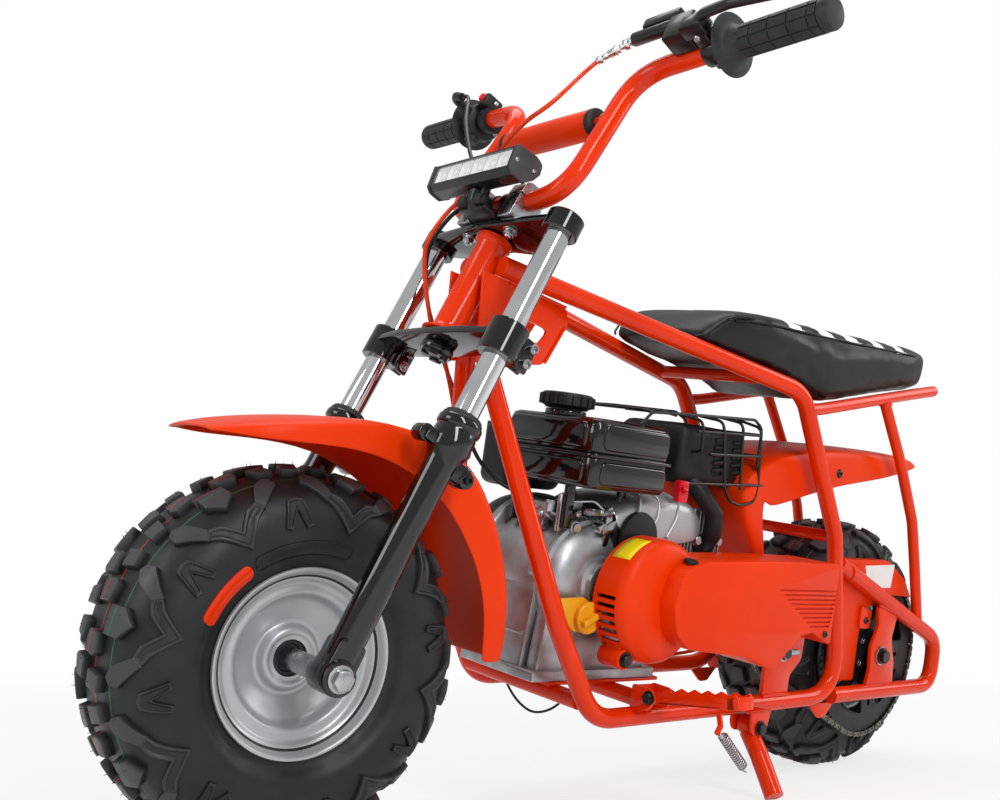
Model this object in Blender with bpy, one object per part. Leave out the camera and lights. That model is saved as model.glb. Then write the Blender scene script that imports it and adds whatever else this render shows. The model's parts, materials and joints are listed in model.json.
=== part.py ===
"""A small off-road minibike with a rigid tube frame, a four-stroke engine on an open bed, a telescopic
fork, knobbly balloon tyres and a side stand. Units are metres.

Every piece is modelled in the bike's own upright axes: +X forward, +Y to the rider's left, +Z up, with
the rear axle above the origin. The empty called bike then leans the whole machine on its side stand."""

import math

import bmesh
import bpy
from mathutils import Matrix, Vector

# Driving sizes of the whole machine
WHEELBASE = 0.924
TYRE_RADIUS = 0.180
RAKE = math.radians(24.2)
STEER_TURN = math.radians(-5.9)
LEAN = math.radians(11.0)
GAP = 0.0003

# Tyres and rims, as a 145/70-6 tyre measures
CARCASS_RADIUS = 0.172
CARCASS_HALF_WIDTH = 0.0695
CARCASS_MID_RADIUS = 0.120
BEAD_RADIUS = 0.0895
TYRE_BORE_RADIUS = 0.0790
RIM_FLANGE_RADIUS = 0.0875
RIM_HALF_WIDTH = 0.0585
WHEEL_SEGMENTS = 24
LUG_SETS = 8
LUG_HEIGHT = 0.008
LUG_ROOT = 0.003

# Axles and hubs
AXLE_RADIUS = 0.0075
HUB_BORE_RADIUS = 0.0085
HUB_HALF_WIDTH = 0.032
HUB_RADIUS = 0.0235

# Fork, measured along the steering axis up from the front axle
LEG_SPREAD = 0.113
STANCHION_RADIUS = 0.0130
STANCHION_TOP = 0.505
SLIDER_RADIUS = 0.0165
SLIDER_TOP = 0.262
SLIDER_SEAT_DEPTH = 0.050
LOWER_CLAMP_Z = 0.350
UPPER_CLAMP_Z = 0.486
CLAMP_THICKNESS = 0.009
CLAMP_RING_RADIUS = 0.0205
STEM_RADIUS = 0.0120
HEAD_RADIUS = 0.0170
HEAD_BORE_RADIUS = 0.0135
HEAD_CUP_RADIUS = 0.0205
HEAD_CUP_HEIGHT = 0.008
HEAD_RUNNING_GAP = 0.0010

# Handlebar, in the steering axes
BAR_RADIUS = 0.0110
BAR_SEAT_Z = 0.524
BAR_SEAT_X = 0.010
BAR_UPRIGHT_Y = 0.100
BAR_BEND_Z = 0.697
BAR_BEND_X = -0.006
BAR_END_Y = 0.340
BAR_END_Z = 0.7155
BAR_END_X = -0.0165
GRIP_LENGTH = 0.116
GRIP_RADIUS = 0.0165
GRIP_FLANGE_RADIUS = 0.032

# Frame tubes
TUBE_RADIUS = 0.0110
THIN_TUBE_RADIUS = 0.0080
RAIL_Y = 0.1015
SEAT_RAIL_Y = 0.1000
HEAD_Y = HEAD_RADIUS + TUBE_RADIUS + GAP
BOTTOM_RAIL_Z = 0.1270

# Footpegs
PEG_X = 0.505
PEG_HINGE_Y = 0.1300
PEG_HINGE_Z = 0.1500
PEG_TILT = math.radians(11)
PEG_LENGTH = 0.1200
PEG_HALF_WIDTH = 0.0140
PEG_PIN_RADIUS = 0.0040

# Side stand
STAND_PIVOT = (0.3200, 0.1220, 0.1060)
STAND_LEG_DIRECTION = (0.014, 0.062, -0.072)
STAND_LEG_RADIUS = 0.0095
STAND_FOOT_RADIUS = 0.0090
STAND_FOOT_HALF = 0.0220

# Drive line
CHAIN_Y = 0.0830
CHAIN_WIDTH = 0.0090
SPROCKET_RADIUS = 0.1130
SPROCKET_THICKNESS = 0.0040
CHAIN_HEIGHT = 0.0090
JACKSHAFT = (0.245, 0.190)
JACKSHAFT_SPROCKET_RADIUS = 0.0260
CRANK = (0.530, 0.262)


def srgb(hex_code):
    """Linear colour of an sRGB hex code such as D8320F."""
    channels = [int(hex_code[i:i + 2], 16) / 255 for i in (0, 2, 4)]
    return [c / 12.92 if c <= 0.04045 else ((c + 0.055) / 1.055) ** 2.4 for c in channels]


def material(name, hex_code, roughness, metallic=0.0):
    mat = bpy.data.materials.new(name)
    mat.use_nodes = True
    shader = mat.node_tree.nodes["Principled BSDF"]
    shader.inputs["Base Color"].default_value = (*srgb(hex_code), 1.0)
    shader.inputs["Roughness"].default_value = roughness
    shader.inputs["Metallic"].default_value = metallic
    return mat


# Shaping helpers


def finish(name, bm, mat, parent, smooth=35.0):
    """Turns a bmesh into a named object under its parent, with round faces shaded smooth."""
    bmesh.ops.recalc_face_normals(bm, faces=bm.faces)
    mesh = bpy.data.meshes.new(name)
    bm.to_mesh(mesh)
    bm.free()
    obj = bpy.data.objects.new(name, mesh)
    obj.data.materials.append(mat)
    bpy.context.scene.collection.objects.link(obj)
    obj.parent = parent
    mesh.shade_smooth()
    mesh.set_sharp_from_angle(angle=math.radians(smooth))
    return obj


def helper(bm):
    """A hidden operand for a Boolean."""
    bmesh.ops.recalc_face_normals(bm, faces=bm.faces)
    mesh = bpy.data.meshes.new("operand")
    bm.to_mesh(mesh)
    bm.free()
    obj = bpy.data.objects.new("operand", mesh)
    obj.hide_render = True
    obj.display_type = "WIRE"
    bpy.context.scene.collection.objects.link(obj)
    return obj


def combine(obj, operands, operation="UNION", smooth=35.0):
    """Joins each operand to the object, or cuts it away, and keeps only the result."""
    parent = obj.parent
    obj.parent = None
    for operand in operands:
        modifier = obj.modifiers.new("join", "BOOLEAN")
        modifier.operation = operation
        modifier.object = operand
        modifier.solver = "EXACT"
    bpy.context.view_layer.update()
    graph = bpy.context.evaluated_depsgraph_get()
    mesh = bpy.data.meshes.new_from_object(obj.evaluated_get(graph))
    obj.modifiers.clear()
    mesh.name = obj.name
    obj.data = mesh
    for operand in operands:
        bpy.data.objects.remove(operand)
    obj.parent = parent
    mesh.shade_smooth()
    mesh.set_sharp_from_angle(angle=math.radians(smooth))
    return obj


def fillet_path(points, radius, steps=4):
    """The points of a bent tube's centre line: each inner corner becomes an arc of the bend radius."""
    points = [Vector(p) for p in points]
    path = [points[0]]
    for before, corner, after in zip(points, points[1:], points[2:]):
        to_before = (before - corner).normalized()
        to_after = (after - corner).normalized()
        half = to_before.angle(to_after) / 2
        reach = min(radius / math.tan(half), 0.45 * (before - corner).length, 0.45 * (after - corner).length)
        bend = reach * math.tan(half)
        centre = corner + (to_before + to_after).normalized() * math.hypot(bend, reach)
        start = corner + to_before * reach - centre
        end = corner + to_after * reach - centre
        turn = start.angle(end)
        for i in range(steps + 1):
            share = i / steps
            path.append(
                centre
                + start * (math.sin((1 - share) * turn) / math.sin(turn))
                + end * (math.sin(share * turn) / math.sin(turn))
            )
    path.append(points[-1])
    return path


def tube_mesh(bm, points, radius, bend=0.05, resolution=2, steps=4):
    """Adds a bent round tube with closed ends to a bmesh."""
    path = fillet_path(points, bend, steps)
    curve = bpy.data.curves.new("tube", "CURVE")
    curve.dimensions = "3D"
    curve.bevel_depth = radius
    curve.bevel_resolution = resolution
    curve.use_fill_caps = True
    spline = curve.splines.new("POLY")
    spline.points.add(len(path) - 1)
    for point, place in zip(spline.points, path):
        point.co = (*place, 1.0)
    obj = bpy.data.objects.new("tube", curve)
    bpy.context.scene.collection.objects.link(obj)
    bpy.context.view_layer.update()
    graph = bpy.context.evaluated_depsgraph_get()
    mesh = bpy.data.meshes.new_from_object(obj.evaluated_get(graph))
    bm.from_mesh(mesh)
    bmesh.ops.remove_doubles(bm, verts=bm.verts, dist=1e-5)
    bpy.data.meshes.remove(mesh)
    bpy.data.objects.remove(obj)
    bpy.data.curves.remove(curve)
    return bm


def tube(points, radius, **bend):
    return tube_mesh(bmesh.new(), points, radius, **bend)


def rod(start, end, radius, segments=14):
    """A straight round bar between two points."""
    bm = bmesh.new()
    start = Vector(start)
    along = Vector(end) - start
    turn = Vector((0, 0, 1)).rotation_difference(along).to_matrix().to_4x4()
    place = Matrix.Translation(start + along / 2) @ turn
    bmesh.ops.create_cone(
        bm, cap_ends=True, segments=segments, radius1=radius, radius2=radius,
        depth=along.length, matrix=place,
    )
    return bm


def box(low, high, edge=0.0, segments=2):
    """A block between two corners, its edges rounded by the edge radius."""
    bm = bmesh.new()
    size = [b - a for a, b in zip(low, high)]
    middle = [(a + b) / 2 for a, b in zip(low, high)]
    bmesh.ops.create_cube(bm, size=1.0)
    bmesh.ops.scale(bm, vec=size, verts=bm.verts)
    bmesh.ops.translate(bm, vec=middle, verts=bm.verts)
    if edge:
        bmesh.ops.bevel(
            bm, geom=bm.edges[:], offset=edge, segments=segments, profile=0.5, affect="EDGES", material=-1
        )
    return bm


def revolve(profile, axis="Y", segments=40):
    """Turns a closed outline of (along, radius) points about an axis through the origin.
    A stretch of the outline that lies on the axis itself leaves no face."""
    on_axis = [i for i, (_, radius) in enumerate(profile) if radius == 0 and profile[i - 1][1] == 0]
    if on_axis:
        profile = profile[on_axis[0]:] + profile[:on_axis[0]]
    bm = bmesh.new()
    verts = [bm.verts.new((radius, along, 0.0)) for along, radius in profile]
    ends = verts[1:] if on_axis else verts[1:] + verts[:1]
    edges = [bm.edges.new((a, b)) for a, b in zip(verts, ends)]
    bmesh.ops.spin(
        bm, geom=verts + edges, cent=(0, 0, 0), axis=(0, 1, 0), angle=2 * math.pi, steps=segments,
        use_merge=True,
    )
    bmesh.ops.remove_doubles(bm, verts=bm.verts, dist=1e-6)
    if axis == "Z":
        bmesh.ops.rotate(bm, cent=(0, 0, 0), matrix=Matrix.Rotation(math.pi / 2, 3, "X"), verts=bm.verts)
    return bm


def moved(bm, place):
    bmesh.ops.translate(bm, vec=place, verts=bm.verts)
    return bm


def plate(outline, low, high, edge=0.0):
    """A flat plate whose outline is (x, z) points, between two y values."""
    bm = bmesh.new()
    face = bm.faces.new([bm.verts.new((x, low, z)) for x, z in outline])
    pushed = bmesh.ops.extrude_face_region(bm, geom=[face])["geom"]
    bmesh.ops.translate(bm, vec=(0, high - low, 0), verts=[v for v in pushed if isinstance(v, bmesh.types.BMVert)])
    bmesh.ops.recalc_face_normals(bm, faces=bm.faces)
    if edge:
        rim = [e for e in bm.edges if len(e.link_faces) == 2 and e.calc_face_angle() > 0.9]
        bmesh.ops.bevel(bm, geom=rim, offset=edge, segments=2, profile=0.5, affect="EDGES", material=-1)
    return bm


def rounded(corners, steps=4):
    """An outline whose corners, given as (x, z, radius), are arcs."""
    outline = []
    count = len(corners)
    for i, (x, z, radius) in enumerate(corners):
        corner = Vector((x, z))
        before = Vector(corners[i - 1][:2]) - corner
        after = Vector(corners[(i + 1) % count][:2]) - corner
        half = before.angle(after) / 2
        if not radius or half > 1.5:
            outline.append((x, z))
            continue
        reach = min(radius / math.tan(half), 0.45 * before.length, 0.45 * after.length)
        bend = reach * math.tan(half)
        centre = corner + (before.normalized() + after.normalized()).normalized() * math.hypot(bend, reach)
        start = corner + before.normalized() * reach - centre
        end = corner + after.normalized() * reach - centre
        turn = start.angle(end)
        for j in range(steps + 1):
            a = math.sin((1 - j / steps) * turn) / math.sin(turn)
            b = math.sin(j / steps * turn) / math.sin(turn)
            outline.append(tuple(centre + start * a + end * b))
    return outline


def arc(cx, cz, radius, start, end, steps):
    """Points along a circle's arc, with its angles in degrees."""
    angles = [math.radians(start + (end - start) * i / steps) for i in range(steps + 1)]
    return [(cx + radius * math.cos(a), cz + radius * math.sin(a)) for a in angles]


def loft(sections, closed_section=False):
    """A sheet of quads over a list of sections with equal numbers of points."""
    bm = bmesh.new()
    rows = [[bm.verts.new(p) for p in section] for section in sections]
    for row, after in zip(rows, rows[1:]):
        count = len(row)
        for i in range(count if closed_section else count - 1):
            j = (i + 1) % count
            bm.faces.new((row[i], row[j], after[j], after[i]))
    if closed_section:
        bm.faces.new(rows[0])
        bm.faces.new(list(reversed(rows[-1])))
    return bm


def thicken(bm, thickness):
    """Gives a sheet a wall, and closes its rim."""
    bmesh.ops.recalc_face_normals(bm, faces=bm.faces)
    bmesh.ops.solidify(bm, geom=bm.faces[:], thickness=thickness)
    return bm


def empty(name, place=(0, 0, 0), rotation=None, parent=None):
    obj = bpy.data.objects.new(name, None)
    bpy.context.scene.collection.objects.link(obj)
    obj.parent = parent
    turn = rotation or Matrix.Identity(4)
    obj.matrix_local = Matrix.Translation(place) @ turn
    return obj


# Frame


def on_head(ahead, y, up):
    """A place given from the steering axis, in the upright bike's axes: ahead of it, and up along it."""
    place = Matrix.Rotation(-RAKE, 3, "Y") @ Vector((ahead, y, up))
    return place.x + WHEELBASE, place.y, place.z + TYRE_RADIUS


def side_loop_points(side):
    """Centre line of one main frame tube: head, top tube, rear post, bottom rail, down tube, head."""
    table = (
        on_head(-0.0030, HEAD_Y, 0.4542),
        (0.2680, RAIL_Y, 0.5240),
        (0.1520, RAIL_Y, 0.3450),
        (0.1000, RAIL_Y, BOTTOM_RAIL_Z),
        (0.5800, RAIL_Y, BOTTOM_RAIL_Z - 0.006),
        (0.6450, RAIL_Y - 0.008, 0.2250),
        on_head(-0.0516, 0.0165, 0.3620),
        on_head(-0.0335, 0.0145, 0.3960),
    )
    return [(x, side * y, z) for x, y, z in table]


def seat_rail_points(side):
    """Centre line of one seat rail, from the frame's rear bend back to its free end."""
    table = (
        # x, z
        (0.2560, 0.5020), (0.2200, 0.5080), (0.0000, 0.5560), (-0.0580, 0.5680),
    )
    return [(x, side * SEAT_RAIL_Y, z) for x, z in table]


def rail_y_at(x):
    """How far out a top tube runs, at a place along the bike."""
    head, bend = side_loop_points(1)[:2]
    share = min(1.0, (head[0] - x) / (head[0] - bend[0]))
    return head[1] + share * (bend[1] - head[1])


def build_frame(mats, bike):
    red = mats["frame_red"]
    for side, word in ((1, "left"), (-1, "right")):
        finish(f"frame_loop_{word}", tube(side_loop_points(side), TUBE_RADIUS, bend=0.055), red, bike)

        hoop = [
            (0.1195, side * RAIL_Y, 0.2990),
            (-0.1560, side * RAIL_Y, 0.2010),
            (-0.1560, side * RAIL_Y, BOTTOM_RAIL_Z + 0.004),
            (0.0920, side * RAIL_Y, BOTTOM_RAIL_Z),
        ]
        ear = rounded(
            [(-0.052, 0.140, 0.0), (-0.046, 0.232, 0.008), (0.030, 0.262, 0.008), (0.034, 0.140, 0.0)]
        )
        obj = finish(f"rear_hoop_{word}", tube(hoop, TUBE_RADIUS, bend=0.035), red, bike)
        combine(obj, [helper(plate(ear, side * RAIL_Y - 0.003, side * RAIL_Y + 0.003))])
        loop = helper(tube(side_loop_points(side), TUBE_RADIUS + GAP, bend=0.055))
        combine(obj, [loop], "DIFFERENCE")
        axle_hole = helper(rod((0, side * (RAIL_Y - 0.01), TYRE_RADIUS), (0, side * (RAIL_Y + 0.01), TYRE_RADIUS), AXLE_RADIUS + GAP))
        combine(obj, [axle_hole], "DIFFERENCE")

        rail_y = side * SEAT_RAIL_Y
        rail = seat_rail_points(side)
        obj = finish(f"seat_rail_{word}", tube(rail, THIN_TUBE_RADIUS, bend=0.03), red, bike)
        strut = [
            (0.0750, rail_y, 0.5380), (0.0080, rail_y, 0.4600), (-0.0480, rail_y, 0.3750),
            (-0.0700, rail_y, 0.3150), (-0.0980, side * RAIL_Y, 0.2250),
        ]
        combine(obj, [helper(tube(strut, THIN_TUBE_RADIUS - 0.0003, bend=0.08))])
        loop = helper(tube(side_loop_points(side), TUBE_RADIUS + GAP, bend=0.055))
        hoop_cut = helper(tube(hoop, TUBE_RADIUS + GAP, bend=0.035))
        combine(obj, [loop, hoop_cut], "DIFFERENCE")

    head_low = LOWER_CLAMP_Z + CLAMP_THICKNESS + HEAD_RUNNING_GAP
    head_high = UPPER_CLAMP_Z - HEAD_RUNNING_GAP
    profile = [
        (head_low, HEAD_BORE_RADIUS), (head_high, HEAD_BORE_RADIUS), (head_high, HEAD_CUP_RADIUS),
        (head_high - HEAD_CUP_HEIGHT, HEAD_CUP_RADIUS), (head_high - HEAD_CUP_HEIGHT, HEAD_RADIUS),
        (head_low + HEAD_CUP_HEIGHT, HEAD_RADIUS), (head_low + HEAD_CUP_HEIGHT, HEAD_CUP_RADIUS),
        (head_low, HEAD_CUP_RADIUS),
    ]
    turned = revolve(profile, "Z", 20)
    to_bike = Matrix.Translation((WHEELBASE, 0, TYRE_RADIUS)) @ Matrix.Rotation(-RAKE, 4, "Y")
    bmesh.ops.transform(turned, matrix=to_bike, verts=turned.verts)
    obj = finish("head_tube", turned, red, bike)
    gusset = rounded(
        [(0.7560, 0.5860, 0.0), (0.6320, 0.5700, 0.010), (0.6260, 0.5480, 0.010), (0.6580, 0.4970, 0.012),
         (0.7840, 0.5160, 0.0)]
    )
    window = rounded([(0.7000, 0.5450, 0.010), (0.6550, 0.5370, 0.010), (0.6680, 0.5200, 0.008), (0.7000, 0.5250, 0.008)])
    web = helper(plate(gusset, -0.0300, 0.0300))
    combine(obj, [web])
    combine(obj, [helper(plate(window, -0.04, 0.04))], "DIFFERENCE")
    combine(obj, [helper(box((0.5, -0.0270, 0.40), (0.7150, 0.0270, 0.62)))], "DIFFERENCE")
    cuts = [helper(tube(side_loop_points(side), TUBE_RADIUS + GAP, bend=0.055)) for side in (1, -1)]
    combine(obj, cuts, "DIFFERENCE")
    stem_room = rod((0, 0, head_low - 0.02), (0, 0, head_high + 0.02), HEAD_BORE_RADIUS + 0.0006, 20)
    bmesh.ops.transform(stem_room, matrix=to_bike, verts=stem_room.verts)
    combine(obj, [helper(stem_room)], "DIFFERENCE")

    finish("engine_plate", box((0.4300, -0.0620, 0.1502), (0.6150, 0.0620, 0.1542)), red, bike)
    cross = (
        # name, x, z, radius
        ("seat_cross_tube", 0.3300, 0.5330, THIN_TUBE_RADIUS),
        ("rear_cross_tube", 0.1500, 0.3420, THIN_TUBE_RADIUS),
    )
    for name, x, z, radius in cross:
        reach = rail_y_at(x)
        obj = finish(name, rod((x, -reach, z), (x, reach, z), radius), red, bike)
        combine(obj, [helper(tube(side_loop_points(s), TUBE_RADIUS + GAP, bend=0.055)) for s in (1, -1)], "DIFFERENCE")

    bar_z = BOTTOM_RAIL_Z + 0.0134
    reach = RAIL_Y - 0.004
    obj = finish("engine_cross_tube", rod((0.595, -reach, bar_z), (0.595, reach, bar_z), 0.0095), red, bike)
    combine(obj, [helper(tube(side_loop_points(s), TUBE_RADIUS + GAP, bend=0.055)) for s in (1, -1)], "DIFFERENCE")
    end = PEG_HINGE_Y - 0.0150
    obj = finish("footrest_bar", rod((PEG_X, -end, bar_z), (PEG_X, end, bar_z), 0.0095), red, bike)
    ears = []
    for s in (1, -1):
        for face in (PEG_HALF_WIDTH + 0.0005, -PEG_HALF_WIDTH - 0.0035):
            low = (PEG_X + face, min(s * (end - 0.012), s * (PEG_HINGE_Y + 0.009)), PEG_HINGE_Z - 0.012)
            high = (PEG_X + face + 0.003, max(s * (end - 0.012), s * (PEG_HINGE_Y + 0.009)), PEG_HINGE_Z + 0.009)
            ears.append(helper(box(low, high)))
        web = (min(s * (end - 0.012), s * (end + 0.001)), max(s * (end - 0.012), s * (end + 0.001)))
        reach = PEG_HALF_WIDTH + 0.0035
        ears.append(helper(box((PEG_X - reach, web[0], PEG_HINGE_Z - 0.0118), (PEG_X + reach, web[1], PEG_HINGE_Z + 0.0088))))
        pin = rod((PEG_X - reach - 0.004, s * PEG_HINGE_Y, PEG_HINGE_Z), (PEG_X + reach + 0.004, s * PEG_HINGE_Y, PEG_HINGE_Z), PEG_PIN_RADIUS, 12)
        ears.append(helper(pin))
    combine(obj, ears)
    combine(obj, [helper(tube(side_loop_points(s), TUBE_RADIUS + GAP, bend=0.055)) for s in (1, -1)], "DIFFERENCE")


def build_footpegs(mats, bike):
    for side, word in ((1, "left"), (-1, "right")):
        hinge = empty(f"footpeg_hinge_{word}", (PEG_X, side * PEG_HINGE_Y, PEG_HINGE_Z), parent=bike)
        tilt = Matrix.Rotation(side * PEG_TILT, 3, "X")
        peg = box((-PEG_HALF_WIDTH, -0.0065, -0.0065), (PEG_HALF_WIDTH, PEG_LENGTH, 0.0065))
        if side < 0:
            bmesh.ops.scale(peg, vec=(1, -1, 1), verts=peg.verts)
        bmesh.ops.rotate(peg, cent=(0, 0, 0), matrix=tilt, verts=peg.verts)
        obj = finish(f"footpeg_{word}", peg, mats["frame_red"], hinge)
        bore = rod((-0.03, 0, 0), (0.03, 0, 0), PEG_PIN_RADIUS + 0.0005, 12)
        combine(obj, [helper(bore)], "DIFFERENCE")


# Wheels


def carcass(angle):
    """Radius and half width of the tyre's casing at an angle of its section, 0 at the crown."""
    power = 0.80
    y = CARCASS_HALF_WIDTH * abs(math.sin(angle)) ** power
    rise = CARCASS_RADIUS - CARCASS_MID_RADIUS if abs(angle) <= math.pi / 2 else 0.0365
    r = CARCASS_MID_RADIUS + rise * math.copysign(abs(math.cos(angle)) ** power, math.cos(angle))
    return r, math.copysign(y, angle)


def on_tyre(turn, section, lift):
    """A point over the tyre: turn about the axle and section angle in degrees, lift off the casing."""
    angle = math.radians(section)
    r, y = carcass(angle)
    ahead_r, ahead_y = carcass(angle + 0.01)
    behind_r, behind_y = carcass(angle - 0.01)
    out = Vector((ahead_y - behind_y, -(ahead_r - behind_r))).normalized()
    r += lift * out.x
    y += lift * out.y
    around = math.radians(turn)
    return r * math.cos(around), y, r * math.sin(around)


def lug_into(bm, corners, height):
    """Adds one tread block whose corners are (turn, section) pairs in degrees."""
    middle = [sum(c[i] for c in corners) / len(corners) for i in (0, 1)]
    foot = [bm.verts.new(on_tyre(t, s, -LUG_ROOT)) for t, s in corners]
    shrink = 0.90
    top = [
        bm.verts.new(on_tyre(middle[0] + (t - middle[0]) * shrink, middle[1] + (s - middle[1]) * shrink, height))
        for t, s in corners
    ]
    count = len(corners)
    bm.faces.new(top)
    bm.faces.new(list(reversed(foot)))
    for i in range(count):
        j = (i + 1) % count
        bm.faces.new((foot[i], foot[j], top[j], top[i]))


def build_tyre(name, mats, parent):
    steps = 4
    outer = [carcass(math.radians(-122 + 244 * i / (2 * steps))) for i in range(2 * steps + 1)]
    bead = [(RIM_HALF_WIDTH - 0.0012, BEAD_RADIUS), (RIM_HALF_WIDTH - 0.0012, 0.0852), (RIM_HALF_WIDTH - 0.0063, TYRE_BORE_RADIUS)]
    profile = [(y, r) for r, y in outer] + bead + [(-y, r) for y, r in reversed(bead)]
    obj = finish(name, revolve(profile, segments=WHEEL_SEGMENTS), mats["tyre"], parent)

    lugs = bmesh.new()
    pitch = 360 / LUG_SETS
    # turn and section of a side lug's half, from its apex to the shoulder
    arm = ((0.0, 92), (12.5, 66), (18.0, 42), (12.5, 38), (0.0, 78))
    for i in range(LUG_SETS):
        for side in (1, -1):
            start = i * pitch + (0 if side > 0 else pitch / 2)
            whole = [(start + t, side * s) for t, s in arm]
            mirrored = [(start - t, side * s) for t, s in reversed(arm[1:-1])]
            lug_into(lugs, whole + mirrored, 0.0050)
            for first, last in ((-5.5, 5.5), (17.5, 27.5)):
                block = [(start + first, side * 30), (start + last, side * 30), (start + last - 1.5, side * 50), (start + first + 1.5, side * 50)]
                lug_into(lugs, block, LUG_HEIGHT)
            crown = [(start + 5, side * -4), (start + 16, side * 2), (start + 17, side * 23), (start + 6, side * 23)]
            lug_into(lugs, crown, LUG_HEIGHT)
    combine(obj, [helper(lugs)], smooth=25.0)
    return obj


def build_rim(name, mats, parent, hub_left, hub_right):
    half = [
        (HUB_HALF_WIDTH, HUB_RADIUS), (0.0200, HUB_RADIUS + 0.003), (0.0160, 0.036), (0.0300, 0.052),
        (0.0320, 0.058), (0.0450, 0.066), (0.0480, 0.072), (RIM_HALF_WIDTH, 0.0765),
        (RIM_HALF_WIDTH + 0.004, RIM_FLANGE_RADIUS - 0.002), (RIM_HALF_WIDTH + 0.002, RIM_FLANGE_RADIUS),
        (RIM_HALF_WIDTH - 0.0005, 0.0850), (RIM_HALF_WIDTH - 0.0055, TYRE_BORE_RADIUS - GAP),
    ]
    left = [(y if i else hub_left, r) for i, (y, r) in enumerate(half)]
    right = [(-y if i else -hub_right, r) for i, (y, r) in enumerate(half)]
    profile = [(hub_left, HUB_BORE_RADIUS)] + left + list(reversed(right)) + [(-hub_right, HUB_BORE_RADIUS)]
    return finish(name, revolve(profile, segments=WHEEL_SEGMENTS), mats["silver_paint"], parent)


def build_wheels(mats, bike, steering):
    front = empty("front_wheel", parent=steering)
    rear = empty("rear_wheel", (0, 0, TYRE_RADIUS), parent=bike)
    build_tyre("front_tyre", mats, front)
    build_tyre("rear_tyre", mats, rear)
    build_rim("front_rim", mats, front, HUB_HALF_WIDTH, HUB_HALF_WIDTH)
    build_rim("rear_rim", mats, rear, HUB_HALF_WIDTH, HUB_HALF_WIDTH)

    carrier = 0.0300
    half = SPROCKET_THICKNESS / 2
    profile = [
        (HUB_HALF_WIDTH + GAP, HUB_BORE_RADIUS), (HUB_HALF_WIDTH + GAP, 0.0220), (CHAIN_Y - half, carrier),
        (CHAIN_Y - half, SPROCKET_RADIUS - 0.001), (CHAIN_Y + half, SPROCKET_RADIUS - 0.001),
        (CHAIN_Y + half, HUB_BORE_RADIUS),
    ]
    obj = finish("rear_sprocket", revolve(profile, segments=36), mats["black_steel"], rear)
    windows = []
    for i in range(5):
        middle = 72 * i + 3.3
        sector = arc(0, 0, 0.090, middle - 22, middle + 22, 4) + arc(0, 0, 0.046, middle + 14, middle - 14, 3)
        windows.append(helper(plate(sector, CHAIN_Y - 0.01, CHAIN_Y + 0.01)))
    combine(obj, windows, "DIFFERENCE")

    disc_y = -0.0830
    profile = [
        (-HUB_HALF_WIDTH - GAP, HUB_BORE_RADIUS), (-HUB_HALF_WIDTH - GAP, 0.0220), (disc_y + 0.002, 0.0280),
        (disc_y + 0.002, 0.0750), (disc_y - 0.002, 0.0750), (disc_y - 0.002, HUB_BORE_RADIUS),
    ]
    finish("brake_disc", revolve(profile, segments=28), mats["bare_steel"], rear)

    reach = RAIL_Y + 0.020
    axle = finish("rear_axle", rod((0, -reach, TYRE_RADIUS), (0, reach, TYRE_RADIUS), AXLE_RADIUS), mats["bare_steel"], bike)
    nuts = []
    for side in (1, -1):
        near = side * (RAIL_Y + 0.0033)
        nuts.append(helper(rod((0, near, TYRE_RADIUS), (0, near + side * 0.009, TYRE_RADIUS), 0.0130, 6)))
        near = side * (RAIL_Y - 0.0033)
        far = side * (CHAIN_Y + SPROCKET_THICKNESS / 2 + 0.001)
        nuts.append(helper(rod((0, near, TYRE_RADIUS), (0, far, TYRE_RADIUS), 0.0115)))
    combine(axle, nuts)


# Fork and handlebar


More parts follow.
